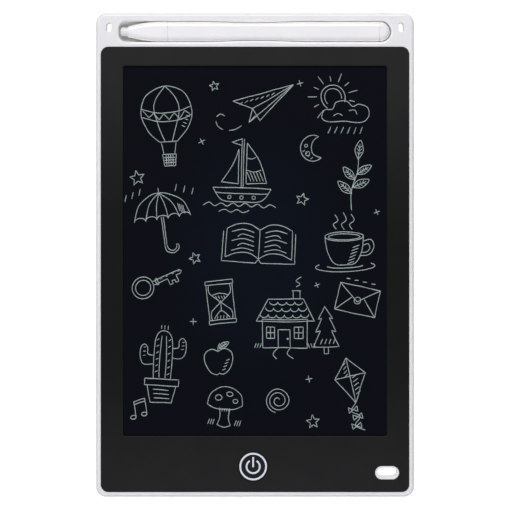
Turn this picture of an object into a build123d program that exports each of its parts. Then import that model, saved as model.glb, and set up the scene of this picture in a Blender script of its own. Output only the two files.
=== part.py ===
from build123d import *
import math
import os

# An LCD writing tablet with its stylus, lying on its back. Lengths are in millimetres.
# X runs across the tablet, Y up the writing surface and Z out of its face.
# The origin is the middle of the footprint, on the surface that the tablet lies on.

# Housing
body_width = 148.5
body_length = 226.0
body_thickness = 6.4
corner_radius = 4.7
front_edge_radius = 1.5
back_edge_radius = 1.0
side_rim = 2.2
bottom_rim = 2.25
top_bar = 15.7
bar_wall = 1.4
back_wall = 1.2
parting_height = 2.6
lip_wall = 0.8
lip_height = 0.6
seam_bevel = 0.15
ledge_width = 1.2
ledge_thickness = 1.2

# Clearances that many pieces share
fit_gap = 0.1
touch_gap = 0.05

# Bezel
bezel_thickness = 1.2
bezel_corner_radius = 3.6
bezel_edge_radius = 0.25
side_border = 10.45
head_border = 8.95
chin_gap = 0.6
window_corner_radius = 1.1
window_edge_radius = 0.6
hook_length = 8.0
hook_wall = 0.8
hook_barb = 0.7
barb_height = 0.65
side_hook_shares = (-0.38, -0.13, 0.13, 0.38)
end_hook_share = 0.38

# Stylus groove
groove_from_side = 10.65
groove_width = 9.7
groove_waist = 8.4
groove_waist_length = 52.0
groove_above_bezel = 7.1
groove_lip_radius = 0.9
skirt_wall = 1.2
trough_floor = 0.55
nub_radius = 0.5
nub_reach = 0.1
nub_pitch = 4.3
nub_group_shares = (-0.326, 0.357)

# Lanyard slots and eyelet
slot_width = 2.5
slot_length = 4.5
slot_end_radius = 1.1
slot_from_side = 6.05
slot_from_top = 6.65
slot_wall = 1.0
eyelet_width = 11.25
eyelet_height = 6.25
eyelet_hole_width = 9.2
eyelet_hole_height = 4.3
eyelet_hole_lift = 0.25
eyelet_from_side = 12.55
eyelet_from_bottom = 11.3
eyelet_edge_radius = 0.3

# Writing panel
film_margin = 2.0
tape_thickness = 0.15
tape_inset = 0.8
writing_film_thickness = 0.2
absorber_film_thickness = 0.2
foam_thickness = 1.0
foam_inset = 0.5
rib_wall = 1.0
rib_inset = 3.0
long_ribs = 5
cross_ribs = 7
tail_width = 6.0
tail_thickness = 0.12
tail_x = 8.0
tail_step = 1.0
tail_pad = 2.0

# Erase button and its switch
button_radius = 6.95
button_gap = 0.15
button_wall = 1.2
button_top_wall = 1.0
button_edge_radius = 0.3
button_x = -0.85
button_from_bottom = 14.2
button_travel = 0.3
flange_reach = 1.05
flange_thickness = 0.55
guide_pin_radius = 0.5
guide_pin_length = 0.8
guide_pin_gap = 0.2
press_boss_radius = 1.0
switch_side = 4.5
switch_height = 0.65
switch_floor = 0.1
plunger_radius = 1.2
plunger_height = 0.58
plunger_lift = 0.32

# Circuit board
board_length = 55.5
board_width = 18.0
board_thickness = 0.8
board_height = 2.7
board_corner_radius = 0.8
board_from_door = 1.0
board_screw_shares = ((-0.37, -0.36), (-0.37, 0.36), (0.43, -0.36), (0.43, 0.36))
board_boss_radius = 1.9
board_screw_radius = 0.7
board_screw_length = 2.0
board_head_radius = 1.6
board_head_height = 0.7
pilot_gap = 0.05
pilot_floor = 0.2

# Parts soldered to the board
chip_length = 4.9
chip_width = 3.9
chip_height = 1.4
chip_lift = 0.1
chip_share = (0.08, -0.05)
lead_width = 0.4
lead_thickness = 0.15
lead_pitch = 1.27
lead_reach = 1.05
leads_per_side = 4
coil_radius = 2.4
coil_core_radius = 1.5
coil_height = 1.3
coil_flange = 0.3
coil_share = (0.3, 0.22)
capacitor_length = 2.0
capacitor_width = 1.25
capacitor_height = 0.85
capacitor_shares = ((0.22, 0.3), (0.22, -0.3), (0.36, -0.2), (0.17, 0.33))
resistor_length = 1.6
resistor_width = 0.8
resistor_height = 0.45
resistor_shares = ((0.05, -0.38), (0.1, -0.38), (0.29, -0.36), (0.29, -0.22), (0.46, 0.0))

# Battery bay, its door and the door's screw
door_length = 34.0
door_width = 23.0
door_corner_radius = 1.0
door_right_x = -18.5
bay_rim = 1.5
bay_height = 1.0
well_gap = 0.15
well_wall = 0.75
contact_space = 0.45
door_pad_radius = 6.0
door_pad_thickness = 0.2
tab_offset = 8.0
tab_width = 4.5
tab_reach = 1.2
tab_root = 0.8
tab_thickness = 0.65
tab_pocket = 2.3
door_screw_from_edge = 5.0
door_screw_radius = 0.95
door_screw_length = 3.5
door_screw_tip = 0.4
door_head_radius = 2.0
door_head_height = 0.6
door_head_inset = 0.05
door_screw_swing_gap = 0.3
door_boss_radius = 2.4
door_boss_cap = 0.4
cross_slot_length = 2.2
cross_slot_width = 0.5
cross_slot_depth = 0.35
grip_ridge_width = 0.8
grip_ridge_depth = 0.3
grip_ridge_length = 9.0
grip_ridges = 3

# Coin cell and its contacts
cell_radius = 10.0
cell_height = 2.5
cell_from_door_edge = 12.0
can_wall = 0.25
can_step = 0.15
gasket_wall = 0.7
cap_edge_bevel = 0.35
contact_thickness = 0.2
contact_film = 0.02
contact_offset = 3.5
negative_contact_width = 4.0
positive_contact_width = 3.4
contact_slot_gap = 0.2
contact_pad = 2.5
contact_rise = 2.0
positive_contact_drop = 1.5

# Erase lock
lock_x = 24.0
lock_travel = 2.5
lock_pad_length = 8.0
lock_pad_width = 4.5
lock_pad_radius = 1.0
lock_recess_depth = 0.7
lock_pad_inset = 0.1
lock_gap = 0.15
lock_stem_length = 3.0
lock_stem_width = 2.4
lock_clip_length = 6.0
lock_clip_width = 4.4
lock_clip_thickness = 0.35
lock_groove_width = 0.5
lock_groove_depth = 0.2
lock_groove_pitch = 1.4
lock_grooves = 4
lever_side = 1.2
lever_height = 1.0
lever_gap = 0.05
slide_case_length = 8.5
slide_case_width = 3.6
slide_case_height = 0.9
slide_case_roof = 0.3

# Stylus
nib_length = 3.7
nib_radius = 2.05
nib_tip_radius = 1.2
nib_stem_radius = 1.3
nib_stem_length = 5.0
nose_length = 18.4
nose_straight = 3.1
nose_tip_width = 5.0
nose_tip_facet_share = 0.03
cap_length = 4.8
pen_height = 6.2
pen_facet = 4.1
pen_keel_radius = 3.4
pen_wall = 1.1
pen_joint_bevel = 0.2
pen_side_gap = 0.15
pen_tip_gap = 0.65
pen_end_gap = 0.55
pen_bore_radius = 1.0
spigot_length = 4.0
nose_sections = 5
waist_sections = 6

# Heights of the faces that pieces share
bezel_underside = body_thickness - bezel_thickness
ledge_underside = bezel_underside - ledge_thickness
bar_underside = body_thickness - bar_wall
film_top = bezel_underside - tape_thickness
absorber_top = film_top - writing_film_thickness
foam_top = absorber_top - absorber_film_thickness
foam_bottom = foam_top - foam_thickness
board_top = board_height + board_thickness

# Plan of the housing
half_width = body_width / 2
half_length = body_length / 2
cavity_width = body_width - 2 * side_rim
cavity_length = body_length - side_rim - bottom_rim
cavity_middle = (bottom_rim - side_rim) / 2
cavity_radius = corner_radius - side_rim
pocket_bottom = bottom_rim - half_length
pocket_top = half_length - top_bar
pocket_length = pocket_top - pocket_bottom
pocket_middle = (pocket_top + pocket_bottom) / 2
ledge_opening_width = cavity_width - 2 * ledge_width
ledge_opening_length = pocket_length - 2 * ledge_width
chin_height = 2 * (cell_radius + well_gap + well_wall + chin_gap) + ledge_width + film_margin
window_width = cavity_width - 2 * side_border
window_length = pocket_length - head_border - chin_height
window_middle = pocket_bottom + chin_height + window_length / 2
film_width = window_width + 2 * film_margin
film_length = window_length + 2 * film_margin
film_bottom = window_middle - film_length / 2
chin_middle = (film_bottom + pocket_bottom + ledge_width) / 2
eyelet_place = (half_width - eyelet_from_side, eyelet_from_bottom - half_length)
eyelet_hole_place = (eyelet_place[0], eyelet_place[1] + eyelet_hole_lift)
slot_x = half_width - slot_from_side
slot_y = half_length - slot_from_top
slot_places = ((-slot_x, slot_y), (slot_x, slot_y))
groove_length = body_width - 2 * groove_from_side
groove_y = pocket_top + groove_above_bezel
button_place = (button_x, button_from_bottom - half_length)
flange_radius = button_radius + flange_reach

# Plan of the chin
door_left_x = door_right_x - door_length
door_middle_x = (door_left_x + door_right_x) / 2
door_bottom = touch_gap
door_top = back_wall - touch_gap
cell_place = (door_right_x - cell_from_door_edge, chin_middle)
cell_bottom = door_top + door_pad_thickness
cell_top = cell_bottom + cell_height
well_radius = cell_radius + well_gap
well_ceiling = cell_top + contact_space
well_top = bezel_underside - fit_gap
door_screw_place = (door_left_x + door_screw_from_edge, chin_middle)
door_head_bottom = door_bottom + door_head_inset
door_shaft_bottom = door_head_bottom + door_head_height
door_shaft_top = door_shaft_bottom + door_screw_length
tab_places = (chin_middle - tab_offset, chin_middle + tab_offset)
board_left_x = door_right_x + board_from_door
board_middle_x = board_left_x + board_length / 2
board_place = (board_middle_x, chin_middle)
negative_contact_y = chin_middle + contact_offset
positive_contact_y = chin_middle - contact_offset
slider_x = lock_x - lock_travel / 2
clip_bottom = back_wall + touch_gap
clip_top = clip_bottom + lock_clip_thickness
slide_case_bottom = board_height - slide_case_height

# Sizes of the stylus that follow the groove
pen_width = groove_width - 2 * pen_side_gap
pen_waist = groove_waist - 2 * pen_side_gap
pen_bottom = back_wall + touch_gap
trough_bottom = back_wall - trough_floor
trough_radius = pen_keel_radius + pen_side_gap + touch_gap
groove_tip_radius = trough_radius + fit_gap
pen_middle = pen_bottom + pen_height / 2
pen_place = (groove_y, pen_middle)
nib_tip_x = pen_tip_gap - groove_length / 2
nose_tip_x = nib_tip_x + nib_length
barrel_start_x = nose_tip_x + nose_length
cap_end_x = groove_length / 2 - pen_end_gap
cap_start_x = cap_end_x - cap_length
barrel_length = cap_start_x - barrel_start_x
pen_edge_radius = (pen_width - pen_facet) / 2
pen_bore_width = pen_waist - 2 * pen_wall
pen_bore_height = pen_height - 2 * pen_wall


def board_point(share):
    """The place on the board that a pair of shares of its length and width gives."""
    return (board_middle_x + share[0] * board_length, chin_middle + share[1] * board_width)


def hook_outline(ledge_edge, outward):
    """The section of a snap hook that hangs from the bezel beside the edge of the ledge."""
    face = ledge_edge - outward * fit_gap
    back = face - outward * hook_wall
    barb_top = ledge_underside - touch_gap
    hook_foot = barb_top - barb_height
    return (
        (back, bezel_underside),
        (face, bezel_underside),
        (face, barb_top),
        (face + outward * hook_barb, barb_top),
        (face, hook_foot),
        (back, hook_foot),
    )


# Plan of the stylus groove: square shouldered at the tip, round at the cap, drawn in at its middle
groove_half = groove_width / 2
groove_draw = (groove_width - groove_waist) / 2
groove_left_x = -groove_length / 2
groove_right_x = groove_length / 2
groove_edge = groove_y + groove_half
waist_x = groove_waist_length / 2
with BuildSketch() as groove_plan:
    with BuildLine():
        Line((groove_left_x, groove_y), (groove_left_x, groove_edge - groove_tip_radius))
        CenterArc(
            (groove_left_x + groove_tip_radius, groove_edge - groove_tip_radius), groove_tip_radius, 90, 90
        )
        Line((groove_left_x + groove_tip_radius, groove_edge), (-waist_x, groove_edge))
        TangentArc((-waist_x, groove_edge), (-waist_x / 2, groove_edge - groove_draw / 2), tangent=(1, 0))
        ThreePointArc(
            (-waist_x / 2, groove_edge - groove_draw / 2),
            (0, groove_edge - groove_draw),
            (waist_x / 2, groove_edge - groove_draw / 2),
        )
        TangentArc((waist_x, groove_edge), (waist_x / 2, groove_edge - groove_draw / 2), tangent=(-1, 0))
        Line((waist_x, groove_edge), (groove_right_x - groove_half, groove_edge))
        CenterArc((groove_right_x - groove_half, groove_y), groove_half, 0, 90)
        mirror(about=Plane.XZ.offset(-groove_y))
    make_face()

with BuildSketch() as skirt_plan:
    offset(groove_plan.sketch, amount=skirt_wall, mode=Mode.ADD)

with BuildSketch() as skirt_room_plan:
    offset(groove_plan.sketch, amount=skirt_wall + fit_gap, mode=Mode.ADD)


# Room for the stylus: the groove's plan, rounded along its floor like the stylus itself
with BuildPart() as groove_room:
    with BuildSketch(Plane.XY.offset(back_wall)):
        add(groove_plan.sketch)
    extrude(amount=body_thickness - back_wall)
    fillet(groove_room.faces().sort_by(Axis.Z)[0].edges(), trough_radius)


# Front frame: rim, ledge for the bezel, and the top bar with the trough that the stylus lies in
with BuildPart() as front_frame:
    with BuildSketch(Plane.XY.offset(parting_height)):
        RectangleRounded(body_width, body_length, corner_radius)
    extrude(amount=body_thickness - parting_height)
    fillet(front_frame.faces().sort_by(Axis.Z)[-1].edges(), front_edge_radius)
    chamfer(front_frame.faces().sort_by(Axis.Z)[0].edges(), seam_bevel)
    with BuildSketch(Plane.XY.offset(parting_height)):
        with Locations((0, cavity_middle)):
            RectangleRounded(cavity_width, cavity_length, cavity_radius)
    extrude(amount=ledge_underside - parting_height, mode=Mode.SUBTRACT)
    with BuildSketch(Plane.XY.offset(ledge_underside)):
        with Locations((0, pocket_middle)):
            RectangleRounded(ledge_opening_width, ledge_opening_length, bezel_corner_radius - ledge_width)
    extrude(amount=ledge_thickness, mode=Mode.SUBTRACT)
    with BuildSketch(Plane.XY.offset(bezel_underside)):
        with Locations((0, pocket_middle)):
            RectangleRounded(cavity_width, pocket_length, bezel_corner_radius)
    extrude(amount=bezel_thickness, mode=Mode.SUBTRACT)
    bar_hollow_bottom = groove_y - groove_half - skirt_wall
    bar_hollow_top = half_length - side_rim
    with BuildSketch(Plane.XY.offset(ledge_underside)):
        with Locations((0, (bar_hollow_bottom + bar_hollow_top) / 2)):
            RectangleRounded(cavity_width, bar_hollow_top - bar_hollow_bottom, cavity_radius)
    extrude(amount=bar_underside - ledge_underside, mode=Mode.SUBTRACT)
    with BuildSketch(Plane.XY.offset(trough_bottom)):
        add(skirt_plan.sketch)
    extrude(amount=body_thickness - trough_bottom)
    with BuildSketch(Plane.XY.offset(back_wall)):
        with Locations(*slot_places):
            RectangleRounded(
                slot_width + 2 * slot_wall, slot_length + 2 * slot_wall, slot_end_radius + slot_wall
            )
    extrude(amount=bar_underside - back_wall)
    with BuildSketch(Plane.XY.offset(back_wall)):
        with Locations(*slot_places):
            RectangleRounded(slot_width, slot_length, slot_end_radius)
    extrude(amount=body_thickness - back_wall, mode=Mode.SUBTRACT)
    add(groove_room.part, mode=Mode.SUBTRACT)
    groove_rim = (
        front_frame.edges()
        .filter_by_position(Axis.Z, body_thickness, body_thickness)
        .filter_by(lambda edge: abs(edge.center().Y - groove_y) <= groove_half)
        .filter_by(lambda edge: abs(edge.center().X) <= groove_length / 2)
    )
    fillet(groove_rim, groove_lip_radius)
    nub_offset = groove_half + nub_radius - nub_reach
    with BuildSketch(Plane.XY.offset(back_wall)):
        for share in nub_group_shares:
            with Locations((share * groove_length, groove_y)):
                with GridLocations(nub_pitch, 2 * nub_offset, 3, 2):
                    Circle(nub_radius)
    extrude(amount=body_thickness - groove_lip_radius - back_wall)

front_frame.part.label = "front_frame"


# Rear cover: shell with the locating lip, ribs, battery bay, bosses and the lanyard eyelet
lip_outer_width = cavity_width - 2 * fit_gap
lip_outer_length = cavity_length - 2 * fit_gap
lip_outer_radius = cavity_radius - fit_gap
lip_inner_width = lip_outer_width - 2 * lip_wall
lip_inner_length = lip_outer_length - 2 * lip_wall
lip_inner_radius = lip_outer_radius - lip_wall
rib_field_width = film_width - 2 * rib_inset
rib_field_length = film_length - 2 * rib_inset
door_boss_top = door_shaft_top + door_screw_swing_gap + door_boss_cap

with BuildPart() as rear_cover:
    with BuildSketch():
        RectangleRounded(body_width, body_length, corner_radius)
    extrude(amount=parting_height)
    fillet(rear_cover.faces().sort_by(Axis.Z)[0].edges(), back_edge_radius)
    chamfer(rear_cover.faces().sort_by(Axis.Z)[-1].edges(), seam_bevel)
    with BuildSketch(Plane.XY.offset(back_wall)):
        with Locations((0, cavity_middle)):
            RectangleRounded(lip_inner_width, lip_inner_length, lip_inner_radius)
    extrude(amount=parting_height - back_wall, mode=Mode.SUBTRACT)
    with BuildSketch(Plane.XY.offset(parting_height)):
        with Locations((0, cavity_middle)):
            RectangleRounded(lip_outer_width, lip_outer_length, lip_outer_radius)
            RectangleRounded(lip_inner_width, lip_inner_length, lip_inner_radius, mode=Mode.SUBTRACT)
    extrude(amount=lip_height)
    with BuildSketch(Plane.XY.offset(trough_bottom - touch_gap)):
        add(skirt_room_plan.sketch)
    extrude(amount=parting_height + lip_height - trough_bottom + touch_gap, mode=Mode.SUBTRACT)

    # Ribs that carry the writing panel
    rib_spacing_x = (rib_field_width - rib_wall) / (long_ribs - 1)
    rib_spacing_y = (rib_field_length - rib_wall) / (cross_ribs - 1)
    with BuildSketch(Plane.XY.offset(back_wall)):
        with Locations((0, window_middle)):
            with GridLocations(rib_spacing_x, rib_field_length, long_ribs, 1):
                Rectangle(rib_wall, rib_field_length)
            with GridLocations(rib_field_width, rib_spacing_y, 1, cross_ribs):
                Rectangle(rib_field_width, rib_wall)
    extrude(amount=foam_bottom - back_wall)

    # Battery bay: a raised floor round the door, the cell's well and the screw boss
    with BuildSketch(Plane.XY.offset(back_wall)):
        with Locations((door_middle_x, chin_middle)):
            Rectangle(door_length + 2 * bay_rim, door_width + 2 * bay_rim)
    extrude(amount=bay_height)
    with BuildSketch(Plane.XY.offset(back_wall)):
        with Locations(cell_place):
            Circle(well_radius + well_wall)
    extrude(amount=well_top - back_wall)
    with BuildSketch(Plane.XY.offset(back_wall)):
        with Locations(door_screw_place):
            Circle(door_boss_radius)
    extrude(amount=door_boss_top - back_wall)
    with BuildSketch():
        with Locations((door_middle_x, chin_middle)):
            RectangleRounded(
                door_length + 2 * fit_gap, door_width + 2 * fit_gap, door_corner_radius + fit_gap
            )
    extrude(amount=back_wall, mode=Mode.SUBTRACT)
    with BuildSketch(Plane.XY.offset(back_wall)):
        with Locations(cell_place):
            Circle(well_radius)
    extrude(amount=well_ceiling - back_wall, mode=Mode.SUBTRACT)
    with BuildSketch(Plane.XY.offset(back_wall)):
        with Locations(door_screw_place):
            Circle(door_screw_radius + door_screw_swing_gap)
    extrude(amount=door_shaft_top + door_screw_swing_gap - back_wall, mode=Mode.SUBTRACT)
    with BuildSketch(Plane.XY.offset(back_wall)):
        for tab_y in tab_places:
            with Locations((door_right_x - tab_pocket, tab_y)):
                Rectangle(
                    tab_pocket + bay_rim, tab_width + 2 * fit_gap, align=(Align.MIN, Align.CENTER)
                )
    extrude(amount=bay_height, mode=Mode.SUBTRACT)

    # Slots in the well for the contacts
    slot_start_x = cell_place[0] + well_radius - contact_rise
    with BuildSketch(Plane.XY.offset(board_top - contact_slot_gap)):
        with Locations((slot_start_x, negative_contact_y)):
            Rectangle(
                contact_rise + well_wall,
                negative_contact_width + 2 * contact_slot_gap,
                align=(Align.MIN, Align.CENTER),
            )
    extrude(amount=well_ceiling - board_top + contact_slot_gap, mode=Mode.SUBTRACT)
    with BuildSketch(Plane.XY.offset(board_top - positive_contact_drop)):
        with Locations((slot_start_x, positive_contact_y)):
            Rectangle(
                contact_rise + well_wall,
                positive_contact_width + 2 * contact_slot_gap,
                align=(Align.MIN, Align.CENTER),
            )
    extrude(amount=well_ceiling - board_top + positive_contact_drop, mode=Mode.SUBTRACT)

    # Bosses for the board's screws
    with BuildSketch(Plane.XY.offset(back_wall)):
        with Locations(*[board_point(share) for share in board_screw_shares]):
            Circle(board_boss_radius)
    extrude(amount=board_height - back_wall)
    with BuildSketch(Plane.XY.offset(back_wall + pilot_floor)):
        with Locations(*[board_point(share) for share in board_screw_shares]):
            Circle(board_screw_radius + pilot_gap)
    extrude(amount=board_height - back_wall - pilot_floor, mode=Mode.SUBTRACT)

    # Recess and slot of the lock slider
    with BuildSketch():
        with Locations((lock_x, chin_middle)):
            RectangleRounded(
                lock_pad_length + lock_travel + 2 * lock_gap,
                lock_pad_width + 2 * lock_gap,
                lock_pad_radius + lock_gap,
            )
    extrude(amount=lock_recess_depth, mode=Mode.SUBTRACT)
    with BuildSketch(Plane.XY.offset(lock_recess_depth)):
        with Locations((lock_x, chin_middle)):
            Rectangle(lock_stem_length + lock_travel + 2 * fit_gap, lock_stem_width + 2 * fit_gap)
    extrude(amount=back_wall - lock_recess_depth, mode=Mode.SUBTRACT)

    # Lanyard eyelet, whose collar shows through the bezel, and the two corner slots
    with BuildSketch(Plane.XY.offset(back_wall)):
        with Locations(eyelet_place):
            SlotOverall(eyelet_width, eyelet_height)
    extrude(amount=body_thickness - back_wall)
    with BuildSketch():
        with Locations(eyelet_hole_place):
            SlotOverall(eyelet_hole_width, eyelet_hole_height)
    extrude(amount=body_thickness, mode=Mode.SUBTRACT)
    fillet(rear_cover.faces().sort_by(Axis.Z)[-1].edges(), eyelet_edge_radius)
    with BuildSketch():
        with Locations(*slot_places):
            RectangleRounded(slot_width, slot_length, slot_end_radius)
    extrude(amount=back_wall, mode=Mode.SUBTRACT)

rear_cover.part.label = "rear_cover"


# Front bezel: face plate with the window, the button's hole, guide pins and snap hooks
with BuildPart() as front_bezel:
    for share in side_hook_shares:
        with BuildSketch(Plane.XZ.offset(-(pocket_middle + share * pocket_length))):
            Polygon(*hook_outline(ledge_opening_width / 2, 1), align=None)
        extrude(amount=hook_length / 2, both=True)
    for edge_y, outward in ((pocket_bottom + ledge_width, -1), (pocket_top - ledge_width, 1)):
        with BuildSketch(Plane.YZ.offset(end_hook_share * cavity_width)):
            Polygon(*hook_outline(edge_y, outward), align=None)
        extrude(amount=hook_length / 2, both=True)
    mirror(about=Plane.YZ)
    with BuildSketch(Plane.XY.offset(bezel_underside)):
        with Locations((0, pocket_middle)):
            RectangleRounded(
                cavity_width - 2 * touch_gap, pocket_length - 2 * touch_gap, bezel_corner_radius - touch_gap
            )
    extrude(amount=bezel_thickness)
    fillet(front_bezel.faces().sort_by(Axis.Z)[-1].edges(), bezel_edge_radius)
    with BuildSketch(Plane.XY.offset(bezel_underside)):
        with Locations((0, window_middle)):
            RectangleRounded(window_width, window_length, window_corner_radius)
    extrude(amount=bezel_thickness, mode=Mode.SUBTRACT)
    window_rim = front_bezel.faces().sort_by(Axis.Z)[-1].inner_wires()[0].edges()
    fillet(window_rim, window_edge_radius)
    with BuildSketch(Plane.XY.offset(bezel_underside)):
        with Locations(button_place):
            Circle(button_radius + button_gap)
        with Locations(eyelet_place):
            SlotOverall(eyelet_width + 2 * fit_gap, eyelet_height + 2 * fit_gap)
    extrude(amount=bezel_thickness, mode=Mode.SUBTRACT)
    with BuildSketch(Plane.XY.offset(bezel_underside - guide_pin_length)):
        with Locations(button_place):
            with PolarLocations(flange_radius, 2):
                Circle(guide_pin_radius)
    extrude(amount=guide_pin_length)

front_bezel.part.label = "front_bezel"


# Writing panel: adhesive frame, writing film, absorber film and foam
with BuildPart() as lcd_mounting_tape:
    with BuildSketch(Plane.XY.offset(film_top)):
        with Locations((0, window_middle)):
            Rectangle(film_width, film_length)
            Rectangle(
                window_width + 2 * tape_inset, window_length + 2 * tape_inset, mode=Mode.SUBTRACT
            )
    extrude(amount=tape_thickness)

lcd_mounting_tape.part.label = "lcd_mounting_tape"

with BuildPart() as lcd_writing_film:
    with BuildSketch(Plane.XY.offset(absorber_top)):
        with Locations((0, window_middle)):
            Rectangle(film_width, film_length)
    extrude(amount=writing_film_thickness)

lcd_writing_film.part.label = "lcd_writing_film"

with BuildPart() as lcd_absorber_film:
    with BuildSketch(Plane.XY.offset(foam_top)):
        with Locations((0, window_middle)):
            Rectangle(film_width, film_length)
    extrude(amount=absorber_film_thickness)

lcd_absorber_film.part.label = "lcd_absorber_film"

with BuildPart() as backing_pad:
    with BuildSketch(Plane.XY.offset(foam_bottom)):
        with Locations((0, window_middle)):
            Rectangle(film_width - 2 * foam_inset, film_length - 2 * foam_inset)
    extrude(amount=foam_thickness)

backing_pad.part.label = "backing_pad"

# Flexible tail from the film's lower edge down to the board
tail_top_z = absorber_top + writing_film_thickness / 2
tail_foot_z = board_top + tail_thickness / 2
board_edge_y = chin_middle + board_width / 2
with BuildPart() as lcd_flex_tail:
    with BuildSketch(Plane.YZ.offset(tail_x)):
        with BuildLine():
            Polyline(
                (film_bottom, tail_top_z),
                (film_bottom - tail_step, tail_top_z),
                (board_edge_y - tail_step, tail_foot_z),
                (board_edge_y - tail_step - tail_pad, tail_foot_z),
            )
        trace(line_width=tail_thickness)
    extrude(amount=tail_width / 2, both=True)

lcd_flex_tail.part.label = "lcd_flex_tail"


# Erase button: cap and flange with notches for the guide pins
flange_top = bezel_underside - touch_gap
flange_bottom = flange_top - flange_thickness
plunger_top = board_top + switch_floor + plunger_lift + plunger_height
with BuildPart() as erase_button:
    with BuildSketch(Plane.XY.offset(flange_bottom)):
        with Locations(button_place):
            Circle(flange_radius)
            with PolarLocations(flange_radius, 2):
                Circle(guide_pin_radius + guide_pin_gap, mode=Mode.SUBTRACT)
    extrude(amount=flange_thickness)
    with BuildSketch(Plane.XY.offset(flange_bottom)):
        with Locations(button_place):
            Circle(button_radius)
    extrude(amount=body_thickness - flange_bottom)
    fillet(erase_button.faces().sort_by(Axis.Z)[-1].edges(), button_edge_radius)
    with BuildSketch(Plane.XY.offset(flange_bottom)):
        with Locations(button_place):
            Circle(button_radius - button_wall)
    extrude(amount=body_thickness - button_top_wall - flange_bottom, mode=Mode.SUBTRACT)
    with BuildSketch(Plane.XY.offset(plunger_top)):
        with Locations(button_place):
            Circle(press_boss_radius)
    extrude(amount=body_thickness - button_top_wall - plunger_top)

erase_button.part.label = "erase_button"

with BuildPart() as tact_switch_base:
    with BuildSketch(Plane.XY.offset(board_top)):
        with Locations(button_place):
            Rectangle(switch_side, switch_side)
    extrude(amount=switch_height)
    with BuildSketch(Plane.XY.offset(board_top + switch_floor)):
        with Locations(button_place):
            Circle(plunger_radius + fit_gap)
    extrude(amount=switch_height - switch_floor, mode=Mode.SUBTRACT)

tact_switch_base.part.label = "tact_switch_base"

with BuildPart() as tact_switch_plunger:
    with BuildSketch(Plane.XY.offset(plunger_top - plunger_height)):
        with Locations(button_place):
            Circle(plunger_radius)
    extrude(amount=plunger_height)

tact_switch_plunger.part.label = "tact_switch_plunger"


# Circuit board and its screws
with BuildPart() as circuit_board:
    with BuildSketch(Plane.XY.offset(board_height)):
        with Locations(board_place):
            RectangleRounded(board_length, board_width, board_corner_radius)
        with Locations(*[board_point(share) for share in board_screw_shares]):
            Circle(board_screw_radius + fit_gap, mode=Mode.SUBTRACT)
    extrude(amount=board_thickness)

circuit_board.part.label = "circuit_board"

with BuildPart() as board_screws:
    with BuildSketch(Plane.XY.offset(board_top)):
        with Locations(*[board_point(share) for share in board_screw_shares]):
            Circle(board_head_radius)
    extrude(amount=board_head_height)
    chamfer(board_screws.faces().group_by(Axis.Z)[-1].edges(), board_head_height / 3)
    with BuildSketch(Plane.XY.offset(board_top - board_screw_length)):
        with Locations(*[board_point(share) for share in board_screw_shares]):
            Circle(board_screw_radius)
    extrude(amount=board_screw_length)

board_screws.part.label = "board_screws"


# Parts soldered to the board
chip_place = board_point(chip_share)
with BuildPart() as controller_chip:
    with BuildSketch(Plane.XY.offset(board_top + chip_lift)):
        with Locations(chip_place):
            Rectangle(chip_length, chip_width)
    extrude(amount=chip_height)

controller_chip.part.label = "controller_chip"

lead_start_y = chip_width / 2
lead_middle_z = board_top + chip_lift + chip_height / 2
lead_foot_z = board_top + lead_thickness / 2
with BuildPart() as controller_leads:
    for lead in range(leads_per_side):
        lead_x = chip_place[0] + (lead - (leads_per_side - 1) / 2) * lead_pitch
        for side in (-1, 1):
            with BuildSketch(Plane.YZ.offset(lead_x)):
                with BuildLine():
                    Polyline(
                        (chip_place[1] + side * lead_start_y, lead_middle_z),
                        (chip_place[1] + side * (lead_start_y + lead_reach / 3), lead_middle_z),
                        (chip_place[1] + side * (lead_start_y + lead_reach / 2), lead_foot_z),
                        (chip_place[1] + side * (lead_start_y + lead_reach), lead_foot_z),
                    )
                trace(line_width=lead_thickness)
            extrude(amount=lead_width / 2, both=True)

controller_leads.part.label = "controller_leads"

with BuildPart() as boost_inductor:
    with BuildSketch(Plane.XY.offset(board_top)):
        with Locations(board_point(coil_share)):
            Circle(coil_radius)
    extrude(amount=coil_flange)
    with BuildSketch(Plane.XY.offset(board_top)):
        with Locations(board_point(coil_share)):
            Circle(coil_core_radius)
    extrude(amount=coil_height)
    with BuildSketch(Plane.XY.offset(board_top + coil_height - coil_flange)):
        with Locations(board_point(coil_share)):
            Circle(coil_radius)
    extrude(amount=coil_flange)

boost_inductor.part.label = "boost_inductor"

with BuildPart() as chip_capacitors:
    with BuildSketch(Plane.XY.offset(board_top)):
        with Locations(*[board_point(share) for share in capacitor_shares]):
            Rectangle(capacitor_width, capacitor_length)
    extrude(amount=capacitor_height)

chip_capacitors.part.label = "chip_capacitors"

with BuildPart() as chip_resistors:
    with BuildSketch(Plane.XY.offset(board_top)):
        with Locations(*[board_point(share) for share in resistor_shares]):
            Rectangle(resistor_width, resistor_length)
    extrude(amount=resistor_height)

chip_resistors.part.label = "chip_resistors"


# Coin cell: steel can, sealing ring and cap
with BuildPart() as cell_can:
    with BuildSketch(Plane.XY.offset(cell_bottom)):
        with Locations(cell_place):
            Circle(cell_radius)
    extrude(amount=cell_height - can_step)
    chamfer(cell_can.faces().sort_by(Axis.Z)[0].edges(), can_wall / 2)
    with BuildSketch(Plane.XY.offset(cell_bottom + can_wall)):
        with Locations(cell_place):
            Circle(cell_radius - can_wall)
    extrude(amount=cell_height - can_step - can_wall, mode=Mode.SUBTRACT)

cell_can.part.label = "cell_can"

with BuildPart() as cell_gasket:
    with BuildSketch(Plane.XY.offset(cell_bottom + can_wall)):
        with Locations(cell_place):
            Circle(cell_radius - can_wall)
            Circle(cell_radius - can_wall - gasket_wall, mode=Mode.SUBTRACT)
    extrude(amount=cell_height - can_step - can_wall)

cell_gasket.part.label = "cell_gasket"

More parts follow.
